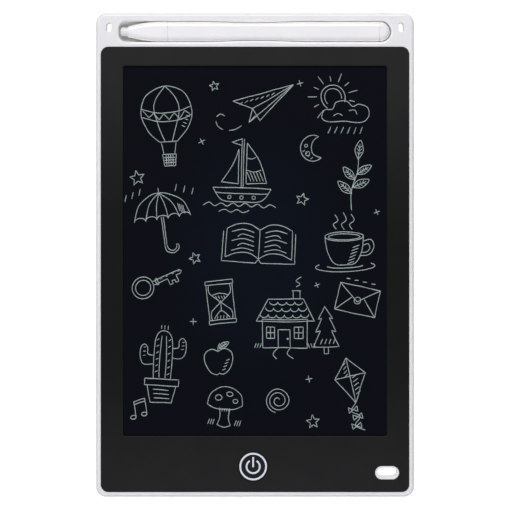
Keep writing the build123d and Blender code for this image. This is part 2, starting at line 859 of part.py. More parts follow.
with BuildPart() as cell_cap:
    with BuildSketch(Plane.XY.offset(cell_bottom + can_wall)):
        with Locations(cell_place):
            Circle(cell_radius - can_wall - gasket_wall)
    extrude(amount=cell_height - can_wall)
    chamfer(cell_cap.faces().sort_by(Axis.Z)[-1].edges(), cap_edge_bevel)

cell_cap.part.label = "cell_cap"

# Contacts: a leaf on the cap and an angle against the can, both soldered to the board
contact_foot_z = board_top + contact_thickness / 2
contact_foot_x = board_left_x + contact_pad
leaf_z = cell_top + contact_film + contact_thickness / 2
well_edge_x = cell_place[0] + well_radius + well_wall
with BuildPart() as cell_negative_contact:
    with BuildSketch(Plane.XZ.offset(-negative_contact_y)):
        with BuildLine():
            Polyline(
                (contact_foot_x, contact_foot_z),
                (well_edge_x, contact_foot_z),
                (well_edge_x - contact_rise, leaf_z),
                (cell_place[0], leaf_z),
            )
        trace(line_width=contact_thickness)
    extrude(amount=negative_contact_width / 2, both=True)

cell_negative_contact.part.label = "cell_negative_contact"

near_side = contact_offset - positive_contact_width / 2
can_side_x = cell_place[0] + math.sqrt(cell_radius**2 - near_side**2)
blade_x = can_side_x + contact_film + contact_thickness / 2
with BuildPart() as cell_positive_contact:
    with BuildSketch(Plane.XZ.offset(-positive_contact_y)):
        with BuildLine():
            Polyline(
                (blade_x, board_top - positive_contact_drop + contact_slot_gap),
                (blade_x, contact_foot_z),
                (contact_foot_x, contact_foot_z),
            )
        trace(line_width=contact_thickness)
    extrude(amount=positive_contact_width / 2, both=True)

cell_positive_contact.part.label = "cell_positive_contact"


# Battery door with two hooked tabs, its foam pad and its screw
with BuildPart() as battery_door:
    with BuildSketch(Plane.XY.offset(door_bottom)):
        with Locations((door_middle_x, chin_middle)):
            RectangleRounded(door_length, door_width, door_corner_radius)
        with Locations(door_screw_place):
            Circle(door_screw_radius + fit_gap, mode=Mode.SUBTRACT)
    extrude(amount=door_top - door_bottom)
    with BuildSketch(Plane.XY.offset(door_bottom)):
        with Locations(door_screw_place):
            Circle(door_head_radius + fit_gap)
    extrude(amount=door_head_inset + door_head_height, mode=Mode.SUBTRACT)
    with BuildSketch(Plane.XY.offset(door_bottom)):
        with Locations(cell_place):
            with GridLocations(2 * grip_ridge_width, door_width, grip_ridges, 1):
                SlotOverall(grip_ridge_length, grip_ridge_width, rotation=90)
    extrude(amount=grip_ridge_depth, mode=Mode.SUBTRACT)
    for tab_y in tab_places:
        with BuildSketch(Plane.XZ.offset(-tab_y)):
            Polygon(
                (door_right_x - tab_root, door_top),
                (door_right_x, door_top),
                (door_right_x, clip_bottom),
                (door_right_x + tab_reach, clip_bottom),
                (door_right_x + tab_reach, clip_bottom + tab_thickness),
                (door_right_x - tab_root, clip_bottom + tab_thickness),
                align=None,
            )
        extrude(amount=tab_width / 2, both=True)

battery_door.part.label = "battery_door"

with BuildPart() as battery_door_pad:
    with BuildSketch(Plane.XY.offset(door_top)):
        with Locations(cell_place):
            Circle(door_pad_radius)
    extrude(amount=door_pad_thickness)

battery_door_pad.part.label = "battery_door_pad"

with BuildPart() as battery_door_screw:
    with BuildSketch(Plane.XY.offset(door_shaft_bottom)):
        with Locations(door_screw_place):
            Circle(door_screw_radius)
    extrude(amount=door_screw_length)
    chamfer(battery_door_screw.faces().sort_by(Axis.Z)[-1].edges(), door_screw_tip)
    with BuildSketch(Plane.XY.offset(door_head_bottom)):
        with Locations(door_screw_place):
            Circle(door_head_radius)
    extrude(amount=door_head_height)
    with BuildSketch(Plane.XY.offset(door_head_bottom)):
        with Locations(door_screw_place):
            Rectangle(cross_slot_length, cross_slot_width)
            Rectangle(cross_slot_width, cross_slot_length)
    extrude(amount=cross_slot_depth, mode=Mode.SUBTRACT)

battery_door_screw.part.label = "battery_door_screw"


# Erase lock: thumb slider on the back, the switch under the board and its lever
with BuildPart() as lock_slider:
    with BuildSketch(Plane.XY.offset(lock_pad_inset)):
        with Locations((slider_x, chin_middle)):
            RectangleRounded(lock_pad_length, lock_pad_width, lock_pad_radius)
    extrude(amount=lock_recess_depth - touch_gap - lock_pad_inset)
    with BuildSketch(Plane.XY.offset(lock_pad_inset)):
        with Locations((slider_x, chin_middle)):
            with GridLocations(lock_groove_pitch, lock_pad_width, lock_grooves, 1):
                Rectangle(lock_groove_width, lock_pad_width - 2 * lock_pad_radius)
    extrude(amount=lock_groove_depth, mode=Mode.SUBTRACT)
    with BuildSketch(Plane.XY.offset(lock_recess_depth - touch_gap)):
        with Locations((slider_x, chin_middle)):
            Rectangle(lock_stem_length, lock_stem_width)
    extrude(amount=clip_bottom - lock_recess_depth + touch_gap)
    with BuildSketch(Plane.XY.offset(clip_bottom)):
        with Locations((slider_x, chin_middle)):
            Rectangle(lock_clip_length, lock_clip_width)
    extrude(amount=lock_clip_thickness)
    with BuildSketch(Plane.XY.offset(clip_bottom + touch_gap)):
        with Locations((slider_x, chin_middle)):
            Rectangle(lever_side + 2 * lever_gap, lever_side + 2 * lever_gap)
    extrude(amount=lock_clip_thickness, mode=Mode.SUBTRACT)

lock_slider.part.label = "lock_slider"

lever_bottom = clip_bottom + 2 * touch_gap
with BuildPart() as slide_switch_lever:
    with BuildSketch(Plane.XY.offset(lever_bottom)):
        with Locations((slider_x, chin_middle)):
            Rectangle(lever_side, lever_side)
    extrude(amount=lever_height)

slide_switch_lever.part.label = "slide_switch_lever"

with BuildPart() as slide_switch_case:
    with BuildSketch(Plane.XY.offset(slide_case_bottom)):
        with Locations((lock_x, chin_middle)):
            Rectangle(slide_case_length, slide_case_width)
    extrude(amount=slide_case_height)
    with BuildSketch(Plane.XY.offset(slide_case_bottom)):
        with Locations((lock_x, chin_middle)):
            Rectangle(lever_side + lock_travel + 2 * fit_gap, lever_side + 2 * fit_gap)
    extrude(amount=slide_case_height - slide_case_roof, mode=Mode.SUBTRACT)

slide_switch_case.part.label = "slide_switch_case"


# Stylus nib: rounded tip and the stem that holds it in the nose
with BuildPart() as stylus_nib:
    with BuildSketch(Plane.YZ.offset(nib_tip_x)):
        with Locations(pen_place):
            Circle(nib_radius)
    extrude(amount=nib_length)
    fillet(stylus_nib.faces().sort_by(Axis.X)[0].edges(), nib_tip_radius)
    with BuildSketch(Plane.YZ.offset(nose_tip_x)):
        with Locations(pen_place):
            Circle(nib_stem_radius)
    extrude(amount=nib_stem_length)

stylus_nib.part.label = "stylus_nib"

# Stylus nose: an ogive from the barrel's section down to the nib, with a spigot in the barrel
nose_taper = nose_length - nose_straight
with BuildPart() as stylus_nose:
    for section in range(nose_sections + 1):
        section_x = barrel_start_x - nose_straight - nose_taper * section / nose_sections
        taper = (section / nose_sections) ** 2
        width = pen_width - (pen_width - nose_tip_width) * taper
        height = pen_height - (pen_height - nose_tip_width) * taper
        facet = pen_facet * (1 - (1 - nose_tip_facet_share) * taper)
        crown_radius = (width - facet) / 2
        keel_radius = pen_keel_radius + (crown_radius - pen_keel_radius) * taper
        with BuildSketch(Plane.YZ.offset(section_x)) as nose_outline:
            with Locations(pen_place):
                Rectangle(width, height)
            fillet(nose_outline.vertices().group_by(Axis.Y)[0], keel_radius)
            fillet(nose_outline.vertices().group_by(Axis.Y)[-1], crown_radius)
    loft()
    with BuildSketch(Plane.YZ.offset(barrel_start_x - nose_straight)) as nose_outline:
        with Locations(pen_place):
            Rectangle(pen_width, pen_height)
        fillet(nose_outline.vertices().group_by(Axis.Y)[0], pen_keel_radius)
        fillet(nose_outline.vertices().group_by(Axis.Y)[-1], pen_edge_radius)
    extrude(amount=nose_straight)
    chamfer(stylus_nose.faces().sort_by(Axis.X)[-1].edges(), pen_joint_bevel)
    with BuildSketch(Plane.YZ.offset(nose_tip_x)):
        with Locations(pen_place):
            Circle(nib_stem_radius + touch_gap)
    extrude(amount=nib_stem_length + fit_gap, mode=Mode.SUBTRACT)
    with BuildSketch(Plane.YZ.offset(barrel_start_x)):
        with Locations(pen_place):
            RectangleRounded(
                pen_bore_width - 2 * fit_gap, pen_bore_height - 2 * fit_gap, pen_bore_radius - fit_gap
            )
    extrude(amount=spigot_length)

stylus_nose.part.label = "stylus_nose"

# Stylus barrel: a tube drawn in at its middle, with a flat facet of even width along its top
with BuildPart() as stylus_barrel:
    for section in range(waist_sections + 1):
        from_waist = 2 * section / waist_sections - 1
        draw = (pen_width - pen_waist) * (1 + math.cos(math.pi * from_waist)) / 2
        width = pen_width - draw
        with BuildSketch(Plane.YZ.offset(from_waist * waist_x)) as barrel_outline:
            with Locations(pen_place):
                Rectangle(width, pen_height)
            fillet(barrel_outline.vertices().group_by(Axis.Y)[0], pen_keel_radius)
            fillet(barrel_outline.vertices().group_by(Axis.Y)[-1], (width - pen_facet) / 2)
    loft()
    for start_x, end_x in ((barrel_start_x, -waist_x), (waist_x, cap_start_x)):
        with BuildSketch(Plane.YZ.offset(start_x)) as barrel_outline:
            with Locations(pen_place):
                Rectangle(pen_width, pen_height)
            fillet(barrel_outline.vertices().group_by(Axis.Y)[0], pen_keel_radius)
            fillet(barrel_outline.vertices().group_by(Axis.Y)[-1], pen_edge_radius)
        extrude(amount=end_x - start_x)
    barrel_ends = (stylus_barrel.faces().sort_by(Axis.X)[0], stylus_barrel.faces().sort_by(Axis.X)[-1])
    chamfer(barrel_ends[0].edges() + barrel_ends[1].edges(), pen_joint_bevel)
    with BuildSketch(Plane.YZ.offset(barrel_start_x)):
        with Locations(pen_place):
            RectangleRounded(pen_bore_width, pen_bore_height, pen_bore_radius)
    extrude(amount=barrel_length, mode=Mode.SUBTRACT)

stylus_barrel.part.label = "stylus_barrel"

# Stylus end cap: half round in plan, with the barrel's rounded edges
with BuildPart() as stylus_end_cap:
    with BuildSketch(Plane.XY.offset(pen_bottom)):
        with Locations((cap_end_x - pen_width / 2, groove_y)):
            Circle(pen_width / 2)
        with Locations((cap_start_x, groove_y)):
            Rectangle(cap_length - pen_width / 2, pen_width, align=(Align.MIN, Align.CENTER))
            Rectangle(cap_length, pen_width, align=(Align.MIN, Align.CENTER), mode=Mode.INTERSECT)
    extrude(amount=pen_height)
    top_rim = stylus_end_cap.edges().group_by(Axis.Z)[-1]
    fillet(top_rim.filter_by(Axis.Y, reverse=True), pen_edge_radius)
    bottom_rim_edges = stylus_end_cap.edges().group_by(Axis.Z)[0]
    fillet(bottom_rim_edges.filter_by(Axis.Y, reverse=True), pen_keel_radius)
    chamfer(stylus_end_cap.faces().sort_by(Axis.X)[0].edges(), pen_joint_bevel)
    with BuildSketch(Plane.YZ.offset(cap_start_x - spigot_length)):
        with Locations(pen_place):
            RectangleRounded(
                pen_bore_width - 2 * fit_gap, pen_bore_height - 2 * fit_gap, pen_bore_radius - fit_gap
            )
    extrude(amount=spigot_length)

stylus_end_cap.part.label = "stylus_end_cap"


pieces = (
    front_frame,
    rear_cover,
    front_bezel,
    lcd_mounting_tape,
    lcd_writing_film,
    lcd_absorber_film,
    backing_pad,
    lcd_flex_tail,
    erase_button,
    tact_switch_base,
    tact_switch_plunger,
    circuit_board,
    board_screws,
    controller_chip,
    controller_leads,
    boost_inductor,
    chip_capacitors,
    chip_resistors,
    cell_can,
    cell_gasket,
    cell_cap,
    cell_negative_contact,
    cell_positive_contact,
    battery_door,
    battery_door_pad,
    battery_door_screw,
    lock_slider,
    slide_switch_lever,
    slide_switch_case,
    stylus_nib,
    stylus_nose,
    stylus_barrel,
    stylus_end_cap,
)
os.makedirs("parts", exist_ok=True)
for piece in pieces:
    export_step(piece.part, f"parts/{piece.part.label}.step")
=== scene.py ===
import math

import bpy
from mathutils import Matrix, Vector, noise


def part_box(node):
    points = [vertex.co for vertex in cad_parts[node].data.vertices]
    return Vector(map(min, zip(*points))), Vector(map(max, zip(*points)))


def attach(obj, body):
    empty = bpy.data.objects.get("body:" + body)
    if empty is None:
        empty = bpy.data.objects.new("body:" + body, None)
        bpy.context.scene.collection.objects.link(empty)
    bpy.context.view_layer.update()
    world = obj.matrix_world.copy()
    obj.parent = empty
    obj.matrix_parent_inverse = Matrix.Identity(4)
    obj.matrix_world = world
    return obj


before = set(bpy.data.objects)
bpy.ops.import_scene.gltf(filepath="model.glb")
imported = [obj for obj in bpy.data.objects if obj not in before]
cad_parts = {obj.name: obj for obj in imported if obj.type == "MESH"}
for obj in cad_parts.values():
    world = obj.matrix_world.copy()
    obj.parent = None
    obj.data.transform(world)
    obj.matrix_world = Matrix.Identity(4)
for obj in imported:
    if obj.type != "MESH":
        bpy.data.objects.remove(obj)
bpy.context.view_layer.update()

# The studio: a white table top in a white room, which is open and dark straight above, where the
# photographer stands. Flags at both sides and a dark skirting keep the tablet's sides from
# glaring. One large soft lamp stands past the head of the tablet, and a weaker one past its foot.
mm = 0.001
opening_edge = math.cos(math.radians(50))
opening_middle = math.cos(math.radians(24))
opening_light = 0.03
room_light = 0.95
flags_shift = 0.3
flags_start = 0.1
flags_end = 0.6
flags_light = 0.06 * room_light
skirting_bottom = 0.25
skirting_top = 0.75
skirting_light = 0.08


def linear(code):
    """Turns an sRGB colour written as RRGGBB into Blender's linear red, green, blue and alpha."""
    parts = [int(code[i : i + 2], 16) / 255 for i in (0, 2, 4)]
    return [c / 12.92 if c <= 0.04045 else ((c + 0.055) / 1.055) ** 2.4 for c in parts] + [1.0]


def add_node(tree, kind, inputs=None, **settings):
    """Adds one shader node, gives it its settings, and fills or links its inputs."""
    made = tree.nodes.new("ShaderNode" + kind)
    for name, value in settings.items():
        setattr(made, name, value)
    for name, value in (inputs or {}).items():
        if isinstance(value, bpy.types.NodeSocket):
            tree.links.new(value, made.inputs[name])
        else:
            made.inputs[name].default_value = value
    return made


def add_seen(tree):
    """One for rays that look at a surface, straight or in a mirror or through glass, else zero."""
    path = add_node(tree, "LightPath").outputs
    mirrored_too = {0: path["Is Camera Ray"], 1: path["Is Glossy Ray"]}
    seen = add_node(tree, "Math", mirrored_too, operation="MAXIMUM").outputs[0]
    through_glass_too = {0: seen, 1: path["Is Transmission Ray"]}
    return add_node(tree, "Math", through_glass_too, operation="MAXIMUM").outputs[0]


room = bpy.data.worlds.new("white_room")
bpy.context.scene.world = room
room.use_nodes = True
room_tree = room.node_tree
room_tree.nodes.clear()
facing = add_node(room_tree, "TexCoord").outputs["Generated"]
directions = add_node(room_tree, "SeparateXYZ", {0: facing}).outputs

# What is seen of the room, straight or mirrored: white walls and the dark opening overhead.
opening_range = {
    "Value": directions["Z"],
    "From Min": opening_edge,
    "From Max": opening_middle,
    "To Min": 1.0,
    "To Max": opening_light,
}
opening = add_node(room_tree, "MapRange", opening_range, interpolation_type="SMOOTHSTEP")
walls_look = {"Color": linear("FFFFFF"), "Strength": opening.outputs[0]}
walls = add_node(room_tree, "Background", walls_look)

# What lights the tablet: the room's soft light, cut off at the sides and low down.
shifted = add_node(room_tree, "Math", {0: directions["X"], 1: flags_shift}, operation="ADD")
sideways = add_node(room_tree, "Math", {0: shifted.outputs[0]}, operation="ABSOLUTE")
flags_range = {
    "Value": sideways.outputs[0],
    "From Min": flags_start,
    "From Max": flags_end,
    "To Min": room_light,
    "To Max": flags_light,
}
flags = add_node(room_tree, "MapRange", flags_range, interpolation_type="SMOOTHSTEP")
skirting_range = {
    "Value": directions["Z"],
    "From Min": skirting_bottom,
    "From Max": skirting_top,
    "To Min": skirting_light,
    "To Max": 1.0,
}
skirting = add_node(room_tree, "MapRange", skirting_range, interpolation_type="SMOOTHSTEP")
cuts = {0: flags.outputs[0], 1: skirting.outputs[0]}
let_through = add_node(room_tree, "Math", cuts, operation="MULTIPLY")
glow = add_node(room_tree, "Background", {"Color": linear("FAFAFD"), "Strength": let_through.outputs[0]})
room_parts = {0: add_seen(room_tree), 1: glow.outputs[0], 2: walls.outputs[0]}
room_mix = add_node(room_tree, "MixShader", room_parts)
add_node(room_tree, "OutputWorld", {"Surface": room_mix.outputs[0]})

# Matt white paper on the table. It looks white by itself and takes the tablet's shadow, and it
# throws less light back up at the tablet than it shows.
table_size = 12
table_drop = 0.1 * mm
paper_glow = 0.97
bpy.ops.object.select_all(action="DESELECT")
bpy.ops.mesh.primitive_plane_add(size=table_size, location=(0, 0, -table_drop))
table_top = bpy.context.object
table_top.name = "table_top"
paper = bpy.data.materials.new("white_studio_paper")
paper.use_nodes = True
paper_tree = paper.node_tree
paper_tree.nodes.clear()
shaded = add_node(paper_tree, "BsdfDiffuse", {"Color": linear("737373")})
lit = add_node(paper_tree, "Emission", {"Color": linear("FFFFFF"), "Strength": paper_glow})
seen_paper = add_node(paper_tree, "AddShader", {0: shaded.outputs[0], 1: lit.outputs[0]})
bouncing = add_node(paper_tree, "BsdfDiffuse", {"Color": linear("A8A8A8")})
paper_parts = {0: add_seen(paper_tree), 1: bouncing.outputs[0], 2: seen_paper.outputs[0]}
paper_mix = add_node(paper_tree, "MixShader", paper_parts)
add_node(paper_tree, "OutputMaterial", {"Surface": paper_mix.outputs[0]})
table_top.data.materials.append(paper)

lamp_depth = 0.3


def add_lamp(name, place, width, watts, colour):
    """Adds a soft box at a place, turned towards the tablet."""
    bpy.ops.object.light_add(type="AREA", location=place)
    lamp = bpy.context.object
    lamp.name = name
    lamp.rotation_euler = (-Vector(place)).to_track_quat("-Z", "Y").to_euler()
    lamp.data.shape = "RECTANGLE"
    lamp.data.size = width
    lamp.data.size_y = lamp_depth
    lamp.data.energy = watts
    lamp.data.color = linear(colour)[:3]
    return lamp


# The foot lamp isn't mirrored, because its image would draw a white line along the stylus.
add_lamp("head_lamp", place=(-0.06, 0.9, 0.84), width=0.7, watts=9.1, colour="FFFDFA")
foot_lamp = add_lamp("foot_lamp", place=(0.05, -0.62, 0.88), width=0.6, watts=4.9, colour="F8F9FF")
foot_lamp.visible_glossy = False

# The camera looks straight down. Its lens and height frame the tablet as the photograph does.
camera_height = 1106.4 * mm
camera_lens = 166.3
camera_sensor = 36
camera_clip = 0.01
bpy.ops.object.camera_add(location=(0, 0, camera_height), rotation=(0, 0, 0))
camera = bpy.context.object
camera.data.sensor_width = camera_sensor
camera.data.lens = camera_lens
camera.data.clip_start = camera_clip
bpy.context.scene.camera = camera
bpy.context.scene.view_settings.view_transform = "Standard"

# The housing: a front frame and a rear cover, snapped together along the parting line. Both are
# injection moulded in white ABS, with a fine spark-eroded grain that keeps the gloss low.
pattern_low = 0.3
pattern_high = 0.7


def start_material(name):
    """A new material, its empty node tree, and the place on the piece that its patterns follow."""
    made = bpy.data.materials.new(name)
    made.use_nodes = True
    made.node_tree.nodes.clear()
    place = add_node(made.node_tree, "TexCoord").outputs["Object"]
    return made, made.node_tree, place


def finish_material(tree, sockets):
    """Ends a material in one surface with the given sockets."""
    surface = add_node(tree, "BsdfPrincipled", sockets)
    add_node(tree, "OutputMaterial", {"Surface": surface.outputs[0]})


def between_colours(tree, share, first, second):
    """A colour on the way from the first to the second. A Mix node takes colours at 6 and 7."""
    return add_node(tree, "Mix", {0: share, 6: first, 7: second}, data_type="RGBA").outputs[2]


def uneven_pigment(tree, pattern, low, high):
    """A pigment that drifts with a pattern from one hex colour to another."""
    pattern_range = {"Value": pattern, "From Min": pattern_low, "From Max": pattern_high}
    drift = add_node(tree, "MapRange", pattern_range).outputs[0]
    return between_colours(tree, drift, linear(low), linear(high))


def white_with_painted_bounce(tree, pigment, painted_bounce_colour):
    """A white pigment, and a paler hex colour shown only to bounced light: painted bounce light in gaps."""
    on_its_way = add_node(tree, "LightPath").outputs["Is Diffuse Ray"]
    return between_colours(tree, on_its_way, pigment, linear(painted_bounce_colour))


def dress(material, *names):
    """Gives nodes of the CAD model their finish."""
    for name in names:
        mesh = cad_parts[name].data
        mesh.materials.clear()
        mesh.materials.append(material)


# Moulded ABS: near-white pigment with a trace of flow mottle, satin from the eroded mould. The
# real grain is about 0.05 mm and can't show in the picture, so it is drawn at 0.7 mm and shallow.
mottle_size = 14 * mm
grain_size = 0.7 * mm
grain_depth = 0.008 * mm
white_abs, tree, place = start_material("moulded_white_abs")
mottle = add_node(tree, "TexNoise", {"Vector": place, "Scale": 1 / mottle_size}).outputs["Fac"]
grains = {"Vector": place, "Scale": 1 / grain_size, "Detail": 3.0}
grain = add_node(tree, "TexNoise", grains).outputs["Fac"]
satin = add_node(tree, "MapRange", {"Value": grain, "To Min": 0.26, "To Max": 0.37})
white_pigment = uneven_pigment(tree, mottle, "E3E3E5", "E6E6E9")
# Light bouncing off this white is painted paler, which lifts the shade in its gaps and recesses.
finish_material(
    tree,
    {
        "Base Color": white_with_painted_bounce(tree, white_pigment, "FDFBF6"),
        "Roughness": satin.outputs[0],
        "IOR": 1.53,
        "Specular IOR Level": 0.42,
        "Subsurface Weight": 0.9,
        "Subsurface Radius": (1, 1, 1),
        "Subsurface Scale": 1.0 * mm,
        "Normal": add_node(tree, "Bump", {"Height": grain, "Distance": grain_depth}).outputs["Normal"],
    },
)
dress(white_abs, "front_frame", "rear_cover")

# The bezel and the erase button: a black ABS plate that lies flush in the front frame and holds
# the film behind its window, and a round key in its chin. Both have a dull, even spark texture.

# Spark-textured ABS: black pigment with little gloss. Its colour is painted darkest at a waist below
# the plate's middle and paler towards its ends. This is a painted sheen that stands in for the
# reflection of the lamps at head and foot. The grain is too fine to show, so it is drawn at 0.6 mm.
mottle_size = 11 * mm
grain_size = 0.6 * mm
grain_depth = 0.012 * mm
# Where the painted sheen is faintest, and the span over which it grows towards the plate's ends.
waist_y = -15 * mm
sheen_start = 25 * mm
sheen_end = 110 * mm
black_abs, tree, place = start_material("spark_textured_black_abs")
mottle = add_node(tree, "TexNoise", {"Vector": place, "Scale": 1 / mottle_size}).outputs["Fac"]
grains = {"Vector": place, "Scale": 1 / grain_size, "Detail": 3.0}
grain = add_node(tree, "TexNoise", grains).outputs["Fac"]
dull = add_node(tree, "MapRange", {"Value": grain, "To Min": 0.5, "To Max": 0.66})
centred = add_node(tree, "Mapping", {"Vector": place, "Location": (0, -waist_y, 0)}).outputs[0]
axes = add_node(tree, "SeparateXYZ", {0: centred}).outputs
from_waist = add_node(tree, "Math", {0: axes["Y"]}, operation="ABSOLUTE").outputs[0]
sheen_range = {"Value": from_waist, "From Min": sheen_start, "From Max": sheen_end}
painted_sheen = add_node(tree, "MapRange", sheen_range, interpolation_type="SMOOTHSTEP").outputs[0]
# The waist black is the plate's own colour. The paler end black carries the painted sheen.
waist_black = uneven_pigment(tree, mottle, "0D0D0E", "101011")
black_with_painted_sheen = uneven_pigment(tree, mottle, "1E1E1F", "212122")
finish_material(
    tree,
    {
        "Base Color": between_colours(tree, painted_sheen, waist_black, black_with_painted_sheen),
        "Roughness": dull.outputs[0],
        "IOR": 1.53,
        "Specular IOR Level": 0.12,
        "Normal": add_node(tree, "Bump", {"Height": grain, "Distance": grain_depth}).outputs["Normal"],
    },
)
dress(black_abs, "front_bezel", "erase_button")

# The writing panel: a clear PET film over cholesteric liquid crystal, which looks bluish black
# where nothing is written. Tape holds it under the bezel, and black film and foam back it.

# The film: smooth and faintly hazy, bluish in the middle of the window and blacker at its rim.
film_low, film_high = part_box("lcd_writing_film")
film_under_bezel = 2 * mm
film_middle = (film_low.y + film_high.y) / 2
window_half_width = film_high.x - film_under_bezel
window_half_length = (film_high.y - film_low.y) / 2 - film_under_bezel
haze_size = 6 * mm
writing_film, tree, place = start_material("cholesteric_lcd_film")
centred = add_node(tree, "Mapping", {"Vector": place, "Location": (0, -film_middle, 0)}).outputs[0]
axes = add_node(tree, "SeparateXYZ", {0: centred}).outputs
across = add_node(tree, "Math", {0: axes["X"], 1: 1 / window_half_width}, operation="MULTIPLY")
along = add_node(tree, "Math", {0: axes["Y"], 1: 1 / window_half_length}, operation="MULTIPLY")
outward = add_node(tree, "CombineXYZ", {0: across.outputs[0], 1: along.outputs[0]}).outputs[0]
from_middle = add_node(tree, "VectorMath", {0: outward}, operation="LENGTH").outputs["Value"]
haze = add_node(tree, "TexNoise", {"Vector": place, "Scale": 1 / haze_size}).outputs["Fac"]
hazy = add_node(tree, "MapRange", {"Value": haze, "To Min": 0.16, "To Max": 0.22})
finish_material(
    tree,
    {
        "Base Color": uneven_pigment(tree, from_middle, "0B101A", "0A0D14"),
        "Roughness": hazy.outputs[0],
        "IOR": 1.57,
        "Specular IOR Level": 0.25,
    },
)
dress(writing_film, "lcd_writing_film")

# Black PET: the light trap under the film, calendered smooth.
streak_size = 9 * mm
absorber, tree, place = start_material("calendered_black_pet")
streaks = add_node(tree, "TexNoise", {"Vector": place, "Scale": 1 / streak_size}).outputs["Fac"]
streaky_black = uneven_pigment(tree, streaks, "0C0C0E", "121214")
finish_material(tree, {"Base Color": streaky_black, "Roughness": 0.3, "IOR": 1.57})
dress(absorber, "lcd_absorber_film")

# Double-sided acrylic tape: black, dull and a little rubbery.
fibre_size = 1.2 * mm
fibre_depth = 0.02 * mm
tape, tree, place = start_material("black_acrylic_tape")
fibre_pattern = {"Vector": place, "Scale": 1 / fibre_size, "Detail": 4.0}
fibres = add_node(tree, "TexNoise", fibre_pattern).outputs["Fac"]
rubbery = add_node(tree, "Bump", {"Height": fibres, "Distance": fibre_depth}).outputs["Normal"]
tape_black = uneven_pigment(tree, fibres, "101011", "1A1A1B")
finish_material(tree, {"Base Color": tape_black, "Roughness": 0.8, "Normal": rubbery})
dress(tape, "lcd_mounting_tape")

# Closed-cell EVA foam: dark grey and matt, with fine open cells at its skin.
cell_size = 0.8 * mm
cell_depth = 0.08 * mm
foam, tree, place = start_material("black_eva_foam")
cells = add_node(tree, "TexVoronoi", {"Vector": place, "Scale": 1 / cell_size}).outputs["Distance"]
cellular = add_node(tree, "Bump", {"Height": cells, "Distance": cell_depth}).outputs["Normal"]
foam_grey = uneven_pigment(tree, cells, "1B1B1C", "2A2A2C")
finish_material(tree, {"Base Color": foam_grey, "Roughness": 0.95, "Normal": cellular})
dress(foam, "backing_pad", "battery_door_pad")

# The drawing: where the stylus pressed the film, the liquid crystal turned pale green-grey. Each
# stroke is a ribbon about 0.4 mm wide, a hundredth of a millimetre proud of the film. A stroke's
# points are in millimetres round the middle of its own motif, until the motif is placed.
stroke_half_width = 0.195
stroke_step = 0.9
stroke_rise = 0.01 * mm


def smooth(points, closed=False):
    """A line through the points without corners, in steps of about a millimetre."""
    count = len(points)
    found = []
    for i in range(count if closed else count - 1):
        if closed:
            a, b, c, d = (points[(i + k) % count] for k in (-1, 0, 1, 2))
        else:
            a, b, c, d = (points[min(max(i + k, 0), count - 1)] for k in (-1, 0, 1, 2))
        steps = max(2, round(math.dist(b, c) / stroke_step))
        for k in range(steps):
            t = k / steps
            pulls = (
                -t * (1 - t) ** 2 / 2,
                (2 - 5 * t * t + 3 * t**3) / 2,
                (t + 4 * t * t - 3 * t**3) / 2,
                -t * t * (1 - t) / 2,
            )
            found.append([sum(w * p[axis] for w, p in zip(pulls, (a, b, c, d))) for axis in (0, 1)])
    found.append(list(points[0] if closed else points[-1]))
    return found


def curve(*points):
    """One open line that bends through the points."""
    return [smooth(points)]


def loop(*points):
    """One closed line that bends through the points."""
    return [smooth(points, closed=True)]


def line(*points):
    """Straight runs with corners."""
    found = []
    for start, end in zip(points, points[1:]):
        steps = max(1, round(math.dist(start, end) / stroke_step))
        found += [[a + (b - a) * k / steps for a, b in zip(start, end)] for k in range(steps)]
    return [found + [list(points[-1])]]


def oval(x, y, across, up, first=80, turn=372):
    """A ring or an arc round x, y, from the angle first on, drawn a little past its start."""
    steps = max(5, round(abs(turn) / 360 * 2 * math.pi * max(across, up) / stroke_step))
    angles = [math.radians(first + turn * k / steps) for k in range(steps + 1)]
    return [[[x + across * math.cos(a), y + up * math.sin(a)] for a in angles]]


def hatch(first, last, stroke, count):
    """Short strokes side by side, whose starts lie evenly between two points."""
    found = []
    for k in range(count):
        x, y = (a + (b - a) * k / max(count - 1, 1) for a, b in zip(first, last))
        found += line((x, y), (x + stroke[0], y + stroke[1]))
    return found


def mirrored(strokes):
    """Strokes and their mirror images to the other side of a motif's middle."""
    return strokes + [[[-x, y] for x, y in stroke] for stroke in strokes]


def row(count, step, strokes):
    """Copies of strokes side by side, each a step to the right of the last."""
    return [[[x + k * step, y] for x, y in stroke] for k in range(count) for stroke in strokes]


balloon = (
    curve((-4, -8), (-9.5, -2), (-12, 6), (-8.5, 14.5), (0, 18), (8.5, 14.5), (12, 6), (9.5, -2), (4, -8))
    + line((-4, -8), (4, -8))
    + mirrored(curve((0, 18), (-4.6, 12), (-5.6, 5), (-1.6, -8)) + line((-3.4, -8.4), (-2.5, -14)))
    + curve((-11.7, 4), (-6, 2), (0, 1.4), (6, 2), (11.7, 4))
    + curve((-11.9, 8), (-6, 6), (0, 5.4), (6, 6), (11.9, 8))
    + line(
        (-11, 7), (-8.6, 3.6), (-6.2, 5.6), (-3.8, 2.4), (-1.4, 5), (1, 2.2), (3.4, 5.2), (5.8, 2.4),
        (8.4, 6), (10.8, 4.4)
    )
    + line((-3.2, -14), (3.2, -14), (2.6, -19.5), (-2.6, -19.5), (-3.2, -14))
    + hatch((-2.8, -15.6), (-2.5, -18), (5.5, 0), 3)
    + hatch((-1.6, -14.2), (1.6, -14.2), (0, -5), 4)
    + hatch((8.2, -1.6), (10.6, 3), (-1.6, 0.8), 4)
)
paper_plane = (
    line((-14, -1), (15, 9), (0, -9.5), (-4, -4), (-14, -1))
    + line((15, 9), (-4, -4), (-5.4, -11), (-2.4, -7.2))
    + line((15, 9), (-5.4, -11))
    + hatch((-9, -1.2), (6, 4.4), (-1.4, -1.2), 7)
    + curve((-9, -13), (-12, -15), (-15, -15.6))
    + curve((-18, -15.4), (-20.5, -14), (-21.6, -11.6))
    + curve((-21.4, -9.4), (-19.8, -7.8), (-17.8, -8.6))
)

